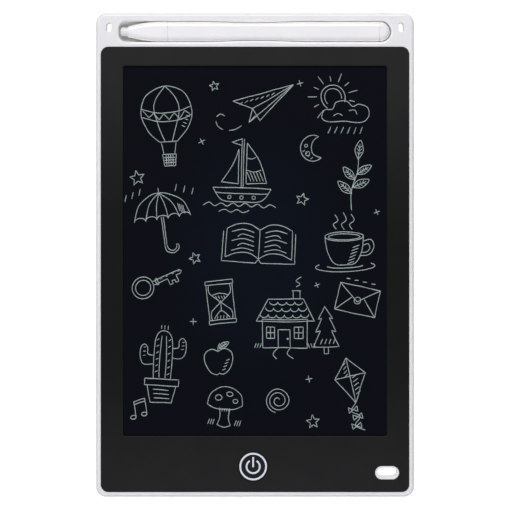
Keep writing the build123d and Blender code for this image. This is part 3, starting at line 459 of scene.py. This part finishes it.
sun_x = -6
sun_y = 5
ray_start = 8.2
short_ray_end = 11
long_ray_end = 13
sun_rays = []
for k in range(10):
    angle = math.radians(-10 + 27 * k)
    ends = (ray_start, long_ray_end if k % 2 else short_ray_end)
    sun_rays += line(*((sun_x + end * math.cos(angle), sun_y + end * math.sin(angle)) for end in ends))
sun_and_cloud = (
    oval(sun_x, sun_y, 6.2, 6.2, -20, 262)
    + oval(sun_x, sun_y, 4.4, 4.4, -8, 236)
    + sun_rays
    + loop(
        (-8, -7.5), (-11.5, -5.5), (-10.4, -1.4), (-6.4, -1), (-4.6, 2.6), (0.6, 3.4), (4, 0.6), (7, 1.8),
        (11.4, 0), (12, -4.6), (8.6, -7.6), (0, -7.2)
    )
    + curve((-6, -4.6), (-3.6, -3.2), (-1.4, -4.4))
    + curve((2, -1.6), (5, -1.2), (6.2, -3.6))
    + hatch((-7, -10), (9, -10), (-1.4, -3.4), 6)
)
sailing_boat = (
    line((-14, -6), (14.4, -6))
    + curve((-14, -6), (-11.5, -10.4), (-8, -12.6), (0, -13), (8, -12.6), (11.6, -10.4), (14.4, -6))
    + curve((-12.6, -8.4), (0, -9), (12.8, -8.4))
    + mirrored(line((-0.5, -6), (-0.5, 18)))
    + curve((2, 16), (8, 8), (12, -3.4))
    + line((12, -3.4), (2, -4), (2, 16))
    + curve((-2, 13), (-5, 5), (-10, -3.4))
    + line((-10, -3.4), (-2, -4), (-2, 13))
    + line((-0.5, 18), (-5.6, 16.4), (-0.5, 14.8))
    + curve((2, 9), (4.4, 8.4), (6.4, 9.4))
    + curve((2, 3), (5.6, 2), (9.2, 3))
    + hatch((10.4, -2.6), (4.4, -2.6), (-2, 4.6), 5)
    + oval(-6, -10.6, 0.9, 0.9)
    + oval(0, -10.9, 0.9, 0.9)
    + oval(6, -10.6, 0.9, 0.9)
    + curve(
        (-19, -15), (-16, -13.4), (-13, -15.2), (-10, -13.6), (-7, -15.2), (-4, -13.6), (-1, -15.2),
        (2, -13.6), (5, -15.2), (8, -13.6), (11, -15.2), (14, -13.6), (17, -15)
    )
    + curve((-11, -18), (-8, -16.8), (-5, -18.2), (-2, -16.8), (1, -18.2), (4, -17))
)
leaf = (
    curve((0, 0), (2, 4.4), (0, 9.4), (-2.2, 4.4), (0, 0))
    + line((0, 0), (0, 7.6))
    + hatch((0, 2.4), (0, 5.6), (1.2, 1.2), 3)
    + hatch((0, 2.4), (0, 5.6), (-1.2, 1.2), 3)
)


def placed(strokes, x, y, size=1.0, turned=0.0):
    """Strokes moved to x, y, turned by an angle in degrees and drawn larger or smaller."""
    c, s = (size * f(math.radians(turned)) for f in (math.cos, math.sin))
    return [[[x + c * u - s * v, y + s * u + c * v] for u, v in stroke] for stroke in strokes]


leafy_twig = (
    curve((1, -17), (-0.6, -8), (0.6, 2), (0, 9))
    + placed(leaf, 0, 8.4, 1.0, 4)
    + placed(leaf, -0.2, -9, 0.95, 58)
    + placed(leaf, -0.4, -6, 0.95, -54)
    + placed(leaf, 0.2, -2, 0.9, 52)
    + placed(leaf, 0.4, 1, 0.9, -50)
)
umbrella = (
    curve((-14, 1), (-11, 8.4), (-5, 12.8), (0, 13.8), (5, 12.8), (11, 8.4), (14, 1))
    + row(5, 5.6, oval(-11.2, 0.8, 2.8, 1.9, 180, -180))
    + mirrored(curve((0, 13.8), (-5.4, 9), (-8.4, 1)) + curve((0, 13.8), (-2, 8), (-2.8, 1)))
    + line((0, 13.8), (0, 16.4))
    + line((-0.5, 2), (-0.5, -12))
    + line((0.5, 2), (0.5, -12))
    + curve((-0.5, -12), (0, -15.2), (3.2, -16.4), (6, -14.4), (6, -12.2))
    + curve((0.5, -12), (1.2, -14.4), (3.2, -15.2), (4.9, -13.8), (5, -12.2))
    + line((6, -12.2), (5, -12.2))
    + hatch((9, 3.4), (11.4, 2), (-0.8, 4.2), 4)
    + hatch((-16, 15), (-9, 17), (-1.2, -3.2), 3)
    + hatch((9, 17), (17, 14), (-1.2, -3.2), 3)
)
cup = (
    oval(0, 6, 9.4, 2.3)
    + oval(0, 5.8, 7.8, 1.5)
    + curve((-9.4, 6), (-8.6, -1), (-6, -6.4), (-3.4, -8))
    + curve((9.4, 6), (8.6, -1), (6, -6.4), (3.4, -8))
    + line((-3.4, -8), (3.4, -8))
    + curve((9, 3.4), (13, 4), (14.4, 0.6), (12, -3), (7.4, -3.6))
    + curve((9, 1.4), (11.6, 2), (12.4, 0), (10.8, -1.8), (8, -2))
    + oval(0, -8.8, 14.4, 2.6, 150, 240)
    + oval(0, -8.2, 9, 1.4, 190, 160)
    + curve((-4, 9.6), (-5.4, 12), (-3, 14), (-4.4, 17))
    + curve((0, 9.4), (-1.4, 12), (1.2, 14.4), (-0.2, 18))
    + curve((4, 9.6), (2.6, 12), (5, 14), (3.6, 17))
    + hatch((7.4, 1.6), (4.4, -6.4), (-3.4, -1.2), 6)
)

row_pitch = 2.3
row_indent = 3
written_rows = []
for k in range(5):
    low = 4.6 - row_pitch * k
    high = 6 - row_pitch * k
    row_end = 13.6 - row_indent * (k % 2)
    written_rows += curve((2.6, low), (8, high), (row_end, low))
page = (
    curve((0, 6), (5, 8.6), (11, 8.4), (16, 6))
    + line((16, 6), (16.4, -8))
    + curve((16.4, -8), (11, -5.6), (5, -5.6), (0, -8.4))
    + written_rows
)
open_book = (
    mirrored(page)
    + line((0, 6), (0, -8.4))
    + line((-17.6, 4.8), (-18, -10), (-1.4, -10.4), (0, -8.6), (1.4, -10.4), (18, -10), (17.6, 4.8))
)

star_tip = 4
star_notch = 1.7
tips = []
for k in range(10):
    reach = star_notch if k % 2 else star_tip
    angle = math.radians(90 + 36 * k)
    tips.append((reach * math.cos(angle), reach * math.sin(angle)))
star = line(*tips, tips[0])
key = (
    oval(-9, 0, 5.6, 5.6)
    + oval(-9, 0, 3.9, 3.9)
    + line(
        (-3.6, 1), (12, 1), (13, 0), (12, -1), (9.6, -1), (9.6, -4.6), (8, -4.6), (8, -3), (6.4, -3),
        (6.4, -4.6), (4.8, -4.6), (4.8, -1), (-3.6, -1)
    )
    + line((-1.6, 1.6), (-1.6, -1.6), (-0.4, -1.6), (-0.4, 1.6), (-1.6, 1.6))
    + hatch((1, 0.4), (11, 0.4), (1.2, 0), 4)
)
cactus = (
    line((-8, -10), (8, -10), (8, -13), (-8, -13), (-8, -10))
    + line((-6.8, -13), (-5, -21), (5, -21), (6.8, -13))
    + curve((-4, -10), (-4.4, 0), (-4, 8), (-2.6, 11.6), (0, 12.8), (2.6, 11.6), (4, 8), (4.4, 0), (4, -10))
    + curve((-4.3, -3), (-9, -3.4), (-10.6, 0), (-10.4, 4.6), (-8.8, 6), (-7.4, 4.4), (-7.2, 1.4), (-4.3, 1))
    + curve((4.3, 0), (8.6, 0), (10.4, 3), (10.2, 8), (8.6, 9.4), (7.2, 8), (7, 4.8), (4.3, 4.4))
    + mirrored(curve((-1.4, -9.4), (-1.6, 0), (-1, 10.4)))
    + hatch((-3.4, -7), (-3.4, 8), (1.2, 0.8), 6)
    + hatch((2.2, -8), (2.2, 8), (1.2, 0.8), 6)
    + hatch((-9.4, 0.4), (-9.2, 4.4), (1.1, 0.3), 3)
    + hatch((8.4, 4), (8.6, 7.4), (1.1, 0.3), 3)
    + hatch((-4, -15), (-3.4, -19), (7.4, 0), 3)
    + hatch((-1.6, 13.4), (1.6, 13.4), (0, 1.8), 3)
)
cottage = (
    line((-11, -12), (-11, 2), (11, 2), (11, -12), (-11, -12))
    + line((-14, 1), (-8, 12), (9, 12), (14.4, 1), (-14, 1))
    + line((4, 12), (4, 16), (7.4, 16), (7.4, 12))
    + line((3.4, 16), (8, 16))
    + curve((5.6, 18), (7.6, 19.4), (5.4, 21), (8, 23))
    + line((-3.2, -12), (-3.2, -3), (2.6, -3), (2.6, -12))
    + oval(1.5, -7.6, 0.4, 0.4)
    + line((-9, -7.4), (-9, -1.8), (-5, -1.8), (-5, -7.4), (-9, -7.4))
    + line((-7, -7.4), (-7, -1.8))
    + line((-9, -4.6), (-5, -4.6))
    + line((4.6, -7.4), (4.6, -1.8), (9, -1.8), (9, -7.4), (4.6, -7.4))
    + line((6.8, -7.4), (6.8, -1.8))
    + line((4.6, -4.6), (9, -4.6))
    + row(6, 4, oval(-10.2, 4.4, 2, 1.6, 180, 180))
    + row(5, 4, oval(-7.4, 7.6, 2, 1.6, 180, 180))
    + row(4, 4, oval(-5.4, 10.6, 2, 1.5, 180, 180))
    + curve((-3.2, -12), (-6, -15), (-4, -17.4))
    + curve((2.6, -12), (1, -15), (4, -17.4))
    + hatch((-15, -12), (-12.4, -12), (0.8, 2.2), 3)
    + hatch((12.2, -12), (15, -12), (-0.8, 2.2), 3)
)
pine = (
    line((-1, -9), (-1, -12), (1, -12), (1, -9))
    + line(
        (0, 10), (-3.4, 4), (-1.8, 4.4), (-4.8, -2), (-2.6, -1.4), (-6, -9), (6, -9), (2.6, -1.4),
        (4.8, -2), (1.8, 4.4), (3.4, 4), (0, 10)
    )
    + hatch((-2.6, -7.6), (3.4, -7.6), (1, 2.4), 4)
)
envelope = (
    line((-12, -8), (-12, 8), (12, 8), (12, -8), (-12, -8))
    + line((-12, 8), (0, -1.4), (12, 8))
    + line((-12, -8), (-3.6, 0.8))
    + line((12, -8), (3.6, 0.8))
    + oval(0, -0.6, 1.9, 1.9)
    + hatch((-9, 11), (6, 11), (2.4, 0.3), 4)
)

bow_reach = 2.6
bow_rise = 1.6
bows = []
for x, y in ((-2.2, -16.4), (-0.4, -21), (-2.2, -26)):
    left = x - bow_reach
    right = x + bow_reach
    high = y + bow_rise
    low = y - bow_rise
    bows += line((x, y), (left, high), (left, low), (x, y), (right, high), (right, low), (x, y))
kite = (
    line((0, 14), (-9, 3), (0, -13), (9, 3), (0, 14))
    + line((0, 14), (0, -13))
    + line((-9, 3), (9, 3))
    + hatch((-1, 11.4), (-1, 4.6), (-2.2, -1.6), 4)
    + hatch((1, 1.6), (1, -8), (3.4, 1.6), 5)
    + curve((0, -13), (-3.4, -17), (1, -21), (-3, -25.6), (2, -29.4))
    + bows
)
hourglass = (
    line((-6.4, 10), (6.4, 10), (6.4, 8.2), (-6.4, 8.2), (-6.4, 10))
    + line((-6.4, -10), (6.4, -10), (6.4, -8.2), (-6.4, -8.2), (-6.4, -10))
    + mirrored(curve((-4.8, 8.2), (-4.8, 4.4), (-0.8, 0.6), (-0.8, -0.6), (-4.8, -4.4), (-4.8, -8.2)))
    + mirrored(line((-6, 8.2), (-6, -8.2)))
    + curve((-3.6, 3.4), (0, 4.2), (3.6, 3.4))
    + curve((-3.8, -7.6), (0, -4), (3.8, -7.6))
    + line((0, 1), (0, -4.4))
    + hatch((-2.2, 3), (1.6, 3), (0.6, -1.4), 4)
    + hatch((-2.4, -7.8), (2.2, -7.8), (0.4, 1.6), 4)
)
mushroom = (
    curve((-8.4, 0), (-7, 5), (-2.6, 8), (2.6, 8), (7, 5), (8.4, 0))
    + curve((-8.4, 0), (-4, -2), (4, -2), (8.4, 0))
    + curve((-2.4, -1.6), (-2, -6), (-3.2, -9.6))
    + curve((2.4, -1.6), (2, -6), (3.2, -9.6))
    + curve((-3.2, -9.6), (0, -10.6), (3.2, -9.6))
    + oval(-3.2, 3.2, 1.6, 1.3)
    + oval(1.8, 5, 1.4, 1.1)
    + oval(4.6, 1.8, 1.2, 1)
    + hatch((-2, -1.8), (2, -1.8), (-0.2, -1.4), 5)
    + hatch((-7.6, -9.6), (-5.4, -9.6), (0.8, 2.6), 3)
    + hatch((5, -9.6), (7.2, -9.6), (0.8, 2.6), 3)
)
moon = (
    oval(0, 0, 7, 7, 50, 250)
    + curve((4.5, 5.36), (1.4, 4), (-0.8, 0.6), (-0.4, -3.4), (3.5, -6.06))
    + oval(-3.6, 2, 0.9, 0.9)
    + oval(-3.4, -2.4, 1.2, 1.2)
    + hatch((-6, -1), (-2.4, -5.6), (1.4, 0.8), 4)
)
apple = (
    curve(
        (0, 4), (-3, 5.4), (-6.4, 3.6), (-7, -0.6), (-4.8, -5.4), (-1.6, -7.2), (0, -6.4), (1.6, -7.2),
        (4.8, -5.4), (7, -0.6), (6.4, 3.6), (3, 5.4), (0, 4)
    )
    + curve((0, 4), (0.2, 6.4), (1.4, 8))
    + placed(leaf, 0.6, 5.6, 0.6, -62)
    + hatch((5.6, 0), (3.4, -4.6), (-1.8, -0.6), 4)
)

spiral_spread = 0.6325
spiral_turn = 0.42
spiral_slowing = 0.82
spiral_line = []
for k in range(1, 90):
    reach = spiral_spread * math.sqrt(k)
    angle = spiral_turn * k**spiral_slowing
    spiral_line.append([reach * math.cos(angle), reach * math.sin(angle)])
spiral = [spiral_line]
double_note = (
    oval(-3.4, -5, 1.8, 1.3)
    + oval(4, -3.8, 1.8, 1.3)
    + line((-1.6, -5), (-1.6, 5), (5.8, 6.4), (5.8, -3.6))
    + line((-1.6, 3.2), (5.8, 4.6))
)
small_cross = line((-1.6, 0), (1.6, 0)) + line((0, -1.6), (0, 1.6))

drawing = (
    placed(balloon, -41, 61, 1.0, 4)
    + placed(paper_plane, 3, 72, 0.95, -4)
    + placed(moon, 27, 50, 0.85, 12)
    + placed(sun_and_cloud, 42, 69, 0.92, 0)
    + placed(sailing_boat, -6, 37, 0.95, -2)
    + placed(leafy_twig, 47, 37, 0.95, -10)
    + placed(umbrella, -43, 16, 0.95, 8)
    + placed(open_book, 2, 6, 0.95, -3)
    + placed(cup, 42, 3, 0.95, 2)
    + placed(key, -45, -12, 0.9, 24)
    + placed(hourglass, -16, -22, 1.0, 6)
    + placed(cottage, 14, -32, 0.95, 0)
    + placed(pine, 33, -34, 1.0, 2)
    + placed(envelope, 48, -21, 0.8, -12)
    + placed(cactus, -43, -48, 1.0, -3)
    + placed(apple, -17, -49, 0.95, 5)
    + placed(mushroom, -14, -70, 1.0, -4)
    + placed(spiral, 11, -68, 1.0, 20)
    + placed(kite, 45, -59, 0.8, 12)
    + placed(double_note, -55, -72, 0.7, 8)
    + placed(star, -55, 36, 0.9, 10)
    + placed(star, 22, 26, 0.75, -14)
    + placed(star, -28, -1.5, 0.7, 20)
    + placed(star, 27, -78, 0.8, 6)
    + placed(star, -19, 79, 0.6, 12)
    + placed(small_cross, 21, 80, 1.0, 14)
    + placed(small_cross, -25, 53, 1.0, 30)
    + placed(small_cross, 25, -58, 1.0, 8)
    + placed(small_cross, 29, -14, 0.8, 20)
    + placed(small_cross, -29, -31, 1.0, 0)
    + placed(small_cross, 57, 20, 0.9, 20)
)

# A hand strays a little from its line, in slow and in quick swings, and presses unevenly.
slow_sway = 0.35
slow_length = 9
quick_sway = 0.066
quick_length = 2.5
pressure_swing = 0.25
pressure_length = 5
thin_end = 0.7


def swing(x, y, length, layer):
    """An uneven swing between -1 and 1 over the film, as long as given, the same in each run."""
    return noise.noise(Vector((x / length, y / length, layer)))


drawing_curve = bpy.data.curves.new("film_drawing", "CURVE")
drawing_curve.dimensions = "3D"
drawing_curve.bevel_depth = stroke_half_width
drawing_curve.bevel_resolution = 0
drawing_curve.use_fill_caps = True
for number, stroke in enumerate(drawing):
    spline = drawing_curve.splines.new("POLY")
    last = len(stroke) - 1
    spline.points.add(last)
    for k, (x, y) in enumerate(stroke):
        slow_x, slow_y = (slow_sway * swing(x, y, slow_length, layer) for layer in (3.7, 13.7))
        quick_x, quick_y = (quick_sway * swing(x, y, quick_length, layer) for layer in (8.1, 18.1))
        strayed_x = x + slow_x + quick_x
        strayed_y = y + slow_y + quick_y
        pressure = 1 + pressure_swing * swing(strayed_x, strayed_y, pressure_length, number)
        spline.points[k].co = (strayed_x, strayed_y, 0, 1)
        spline.points[k].radius = pressure * (thin_end if k in (0, last) else 1)


def flat_mesh(name, curve_data, height, rise):
    """A curve made a mesh and pressed flat to the given thickness, at a height over the table."""
    bpy.ops.object.select_all(action="DESELECT")
    made = bpy.data.objects.new(name, curve_data)
    bpy.context.scene.collection.objects.link(made)
    bpy.context.view_layer.objects.active = made
    made.select_set(True)
    bpy.ops.object.convert(target="MESH")
    made = bpy.context.object
    tallest = max(v.co.z for v in made.data.vertices)
    flattened = Matrix.Diagonal((mm, mm, rise / tallest, 1))
    made.data.transform(Matrix.Translation((0, 0, height)) @ flattened)
    bpy.ops.object.mode_set(mode="EDIT")
    bpy.ops.mesh.select_all(action="SELECT")
    bpy.ops.mesh.normals_make_consistent(inside=False)
    bpy.ops.object.mode_set(mode="OBJECT")
    return made


film_drawing = flat_mesh("film_drawing", drawing_curve, film_high.z, stroke_rise)

# Aligned liquid crystal: a pale green-grey that scatters softly, a little uneven along a stroke.
mark_size = 3 * mm
crystal, tree, place = start_material("reflecting_liquid_crystal")
marks = add_node(tree, "TexNoise", {"Vector": place, "Scale": 1 / mark_size}).outputs["Fac"]
finish_material(
    tree,
    {
        "Base Color": uneven_pigment(tree, marks, "96A5A3", "AFBCBA"),
        "Roughness": 0.5,
        "IOR": 1.5,
        "Specular IOR Level": 0.3,
    },
)
film_drawing.data.materials.append(crystal)
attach(film_drawing, "root")

# The erase button's print: a ring and a power sign, pad printed on the black button in white ink
# that reads slightly blue, two hundredths of a millimetre thick. Its lines are in millimetres
# from the button's middle, and the sign's gap is in degrees to each side of its bar.
button_low, button_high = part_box("erase_button")
button_middle = (button_low + button_high) / 2
print_rise = 0.02 * mm
ring_radius = 6.02
ring_half_width = 0.44
ring_step = 4
sign_radius = 3.075
sign_half_width = 0.41
sign_gap = 33
sign_steps = 150
bar_top = 4.54
bar_foot = -0.37
bar_steps = 60
thinnest_end = 0.05

button_print = bpy.data.curves.new("button_print", "CURVE")
button_print.dimensions = "3D"
button_print.bevel_depth = 1
button_print.bevel_resolution = 3
button_print.use_fill_caps = True


def add_printed_line(points, half_width):
    """A printed line with round ends through the points."""
    runs = [0.0]
    for a, b in zip(points, points[1:]):
        runs.append(runs[-1] + math.dist(a, b))
    spline = button_print.splines.new("POLY")
    spline.points.add(len(points) - 1)
    for k, (x, y) in enumerate(points):
        to_end = min(runs[k], runs[-1] - runs[k])
        inward = 1 - min(to_end / half_width, 1)
        spline.points[k].co = (x, y, 0, 1)
        spline.points[k].radius = half_width * max(math.sqrt(1 - inward * inward), thinnest_end)
    return spline


def round_point(radius, degrees):
    """The point of a circle round the button's middle at an angle."""
    angle = math.radians(degrees)
    return radius * math.cos(angle), radius * math.sin(angle)


ring_points = [round_point(ring_radius, degrees) for degrees in range(0, 360, ring_step)]
ring = add_printed_line(ring_points, ring_half_width)
ring.use_cyclic_u = True
for point in ring.points:
    point.radius = ring_half_width
end_turn = math.degrees(sign_half_width / sign_radius) * 0.5
sign_start = 90 + sign_gap - end_turn
sign_sweep = 360 - 2 * (sign_gap - end_turn)
sign_angles = [sign_start + sign_sweep * k / sign_steps for k in range(sign_steps + 1)]
add_printed_line([round_point(sign_radius, degrees) for degrees in sign_angles], sign_half_width)
bar_points = [(0, bar_foot + (bar_top - bar_foot) * k / bar_steps) for k in range(bar_steps + 1)]
add_printed_line(bar_points, sign_half_width)
printed = flat_mesh("button_print", button_print, button_high.z, print_rise)
printed.data.transform(Matrix.Translation((button_middle.x, button_middle.y, 0)))

# Pad-printed epoxy ink: opaque bluish white, slightly uneven where the pad lifted.
pad_mark_size = 0.9 * mm
ink, tree, place = start_material("pad_printed_white_ink")
pad_marks = add_node(tree, "TexNoise", {"Vector": place, "Scale": 1 / pad_mark_size}).outputs["Fac"]
ink_white = uneven_pigment(tree, pad_marks, "CFD6E4", "DADFEA")
finish_material(tree, {"Base Color": ink_white, "Roughness": 0.45, "IOR": 1.5})
printed.data.materials.append(ink)
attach(printed, "erase_button")

# The stylus: a hollow white barrel with a drawn-in waist and a flat back, a tapered nose and a
# domed cap, moulded in polished white ABS. Its nib is clear nylon that looks pale grey.

# Polished ABS: a bright white with a clear gloss and the faintest sink ripples.
mottle_size = 12 * mm
ripple_size = 5 * mm
ripple_depth = 0.02 * mm
white_gloss_abs, tree, place = start_material("polished_white_abs")
mottle = add_node(tree, "TexNoise", {"Vector": place, "Scale": 1 / mottle_size}).outputs["Fac"]
ripple = add_node(tree, "TexNoise", {"Vector": place, "Scale": 1 / ripple_size}).outputs["Fac"]
bright_pigment = uneven_pigment(tree, mottle, "EBEBED", "EEEEF0")
# Light bouncing off this white is painted paler, which lifts the shade in the gaps round the stylus.
finish_material(
    tree,
    {
        "Base Color": white_with_painted_bounce(tree, bright_pigment, "FDFBF6"),
        "Roughness": 0.24,
        "IOR": 1.53,
        "Subsurface Weight": 0.9,
        "Subsurface Radius": (1, 1, 1),
        "Subsurface Scale": 0.6 * mm,
        "Normal": add_node(tree, "Bump", {"Height": ripple, "Distance": ripple_depth}).outputs["Normal"],
    },
)
dress(white_gloss_abs, "stylus_nose", "stylus_barrel", "stylus_end_cap")

# Frosted nylon: pale and milky, with a little light through it.
clouding_size = 1.6 * mm
nylon, tree, place = start_material("frosted_clear_nylon")
clouding = add_node(tree, "TexNoise", {"Vector": place, "Scale": 1 / clouding_size}).outputs["Fac"]
finish_material(
    tree,
    {
        "Base Color": uneven_pigment(tree, clouding, "E4E4E4", "ECECEC"),
        "Roughness": 0.35,
        "IOR": 1.53,
        "Transmission Weight": 0.12,
        "Subsurface Weight": 0.2,
        "Subsurface Radius": (0.6 * mm, 0.6 * mm, 0.6 * mm),
    },
)
dress(nylon, "stylus_nib")

# The battery bay's door and its screw, and the erase lock, on the back. Door and slide are white
# ABS as the cover is, and the screws of the door and the board are zinc-plated steel.
dress(white_abs, "battery_door", "lock_slider")

# Zinc plating: a bluish grey metal with a fine spangle that changes its gloss.
spangle_size = 0.8 * mm
steel, tree, place = start_material("zinc_plated_steel")
spangles = {"Vector": place, "Scale": 1 / spangle_size, "Detail": 4.0}
spangle = add_node(tree, "TexNoise", spangles).outputs["Fac"]
spangled = add_node(tree, "MapRange", {"Value": spangle, "To Min": 0.25, "To Max": 0.42}).outputs[0]
zinc = uneven_pigment(tree, spangle, "B4B7BA", "C9CBCD")
finish_material(tree, {"Base Color": zinc, "Metallic": 1.0, "Roughness": spangled})
dress(steel, "battery_door_screw", "board_screws")

# The circuit board with its parts, behind the chin: glass laminate with a chip, a coil, ceramic
# chips and the two switches soldered on. The film's tail is plugged in at its edge.

# Green solder mask: a glossy varnish over the laminate's weave.
weave_size = 1.0 * mm
laminate, tree, place = start_material("green_solder_mask")
weaving = {"Vector": place, "Scale": 1 / weave_size, "Detail": 3.0}
weave = add_node(tree, "TexNoise", weaving).outputs["Fac"]
mask_green = uneven_pigment(tree, weave, "14502F", "1C6339")
finish_material(tree, {"Base Color": mask_green, "Roughness": 0.35, "IOR": 1.5})
dress(laminate, "circuit_board")

# Epoxy resin: black and matt from its mineral filler.
filler_size = 0.5 * mm
resin, tree, place = start_material("black_epoxy_resin")
filling = {"Vector": place, "Scale": 1 / filler_size, "Detail": 3.0}
filler = add_node(tree, "TexNoise", filling).outputs["Fac"]
resin_black = uneven_pigment(tree, filler, "161617", "222224")
finish_material(tree, {"Base Color": resin_black, "Roughness": 0.6, "IOR": 1.52})
dress(resin, "controller_chip", "boost_inductor")
dress(resin, "tact_switch_plunger", "slide_switch_lever", "slide_switch_case")

# Tinned copper: a pale grey metal, dulled a little where the tin froze.
tin_size = 0.4 * mm
tinned, tree, place = start_material("tinned_copper")
tinning = {"Vector": place, "Scale": 1 / tin_size, "Detail": 3.0}
tin = add_node(tree, "TexNoise", tinning).outputs["Fac"]
tin_grey = uneven_pigment(tree, tin, "B9BABB", "CDCECE")
finish_material(tree, {"Base Color": tin_grey, "Metallic": 1.0, "Roughness": 0.34})
dress(tinned, "controller_leads", "tact_switch_base")
dress(tinned, "cell_negative_contact", "cell_positive_contact")

# Fired ceramic: a speckled tan body, matt as it comes from the kiln.
speckle_size = 0.3 * mm
ceramic, tree, place = start_material("fired_chip_ceramic")
speckling = {"Vector": place, "Scale": 1 / speckle_size, "Detail": 3.0}
speckle = add_node(tree, "TexNoise", speckling).outputs["Fac"]
ceramic_tan = uneven_pigment(tree, speckle, "8A6A4A", "9C7B58")
finish_material(tree, {"Base Color": ceramic_tan, "Roughness": 0.55, "IOR": 1.6})
dress(ceramic, "chip_capacitors", "chip_resistors")

# Polyimide: amber film, smooth, with the copper traces faintly darker in it.
trace_size = 1.5 * mm
polyimide, tree, place = start_material("amber_polyimide_film")
traces = add_node(tree, "TexNoise", {"Vector": place, "Scale": 1 / trace_size}).outputs["Fac"]
amber = uneven_pigment(tree, traces, "A8621A", "BC7524")
finish_material(tree, {"Base Color": amber, "Roughness": 0.3, "IOR": 1.6})
dress(polyimide, "lcd_flex_tail")

# The coin cell: a stainless steel can and cap, drawn from sheet, with a nylon sealing ring
# between them. It lies in the battery bay under the door.

# Drawn stainless steel: pale and bright, with streaks from the die that run along the sheet.
streak_size = 3 * mm
streak_squeeze = 8
stainless, tree, place = start_material("drawn_stainless_steel")
squeezing = {"Vector": place, "Scale": (1, streak_squeeze, streak_squeeze)}
squeezed = add_node(tree, "Mapping", squeezing).outputs[0]
streaking = {"Vector": squeezed, "Scale": 1 / streak_size, "Detail": 4.0}
streaks = add_node(tree, "TexNoise", streaking).outputs["Fac"]
streaked = add_node(tree, "MapRange", {"Value": streaks, "To Min": 0.2, "To Max": 0.36}).outputs[0]
stainless_grey = uneven_pigment(tree, streaks, "C4C4C2", "D2D2D0")
finish_material(tree, {"Base Color": stainless_grey, "Metallic": 1.0, "Roughness": streaked})
dress(stainless, "cell_can", "cell_cap")

# Nylon seal: grey and waxy.
seal_grain_size = 1.0 * mm
sealing, tree, place = start_material("grey_nylon_seal")
seal_grain = add_node(tree, "TexNoise", {"Vector": place, "Scale": 1 / seal_grain_size})
seal_grey = uneven_pigment(tree, seal_grain.outputs["Fac"], "6A6B6C", "7A7B7C")
finish_material(tree, {"Base Color": seal_grey, "Roughness": 0.5, "IOR": 1.53})
dress(sealing, "cell_gasket")
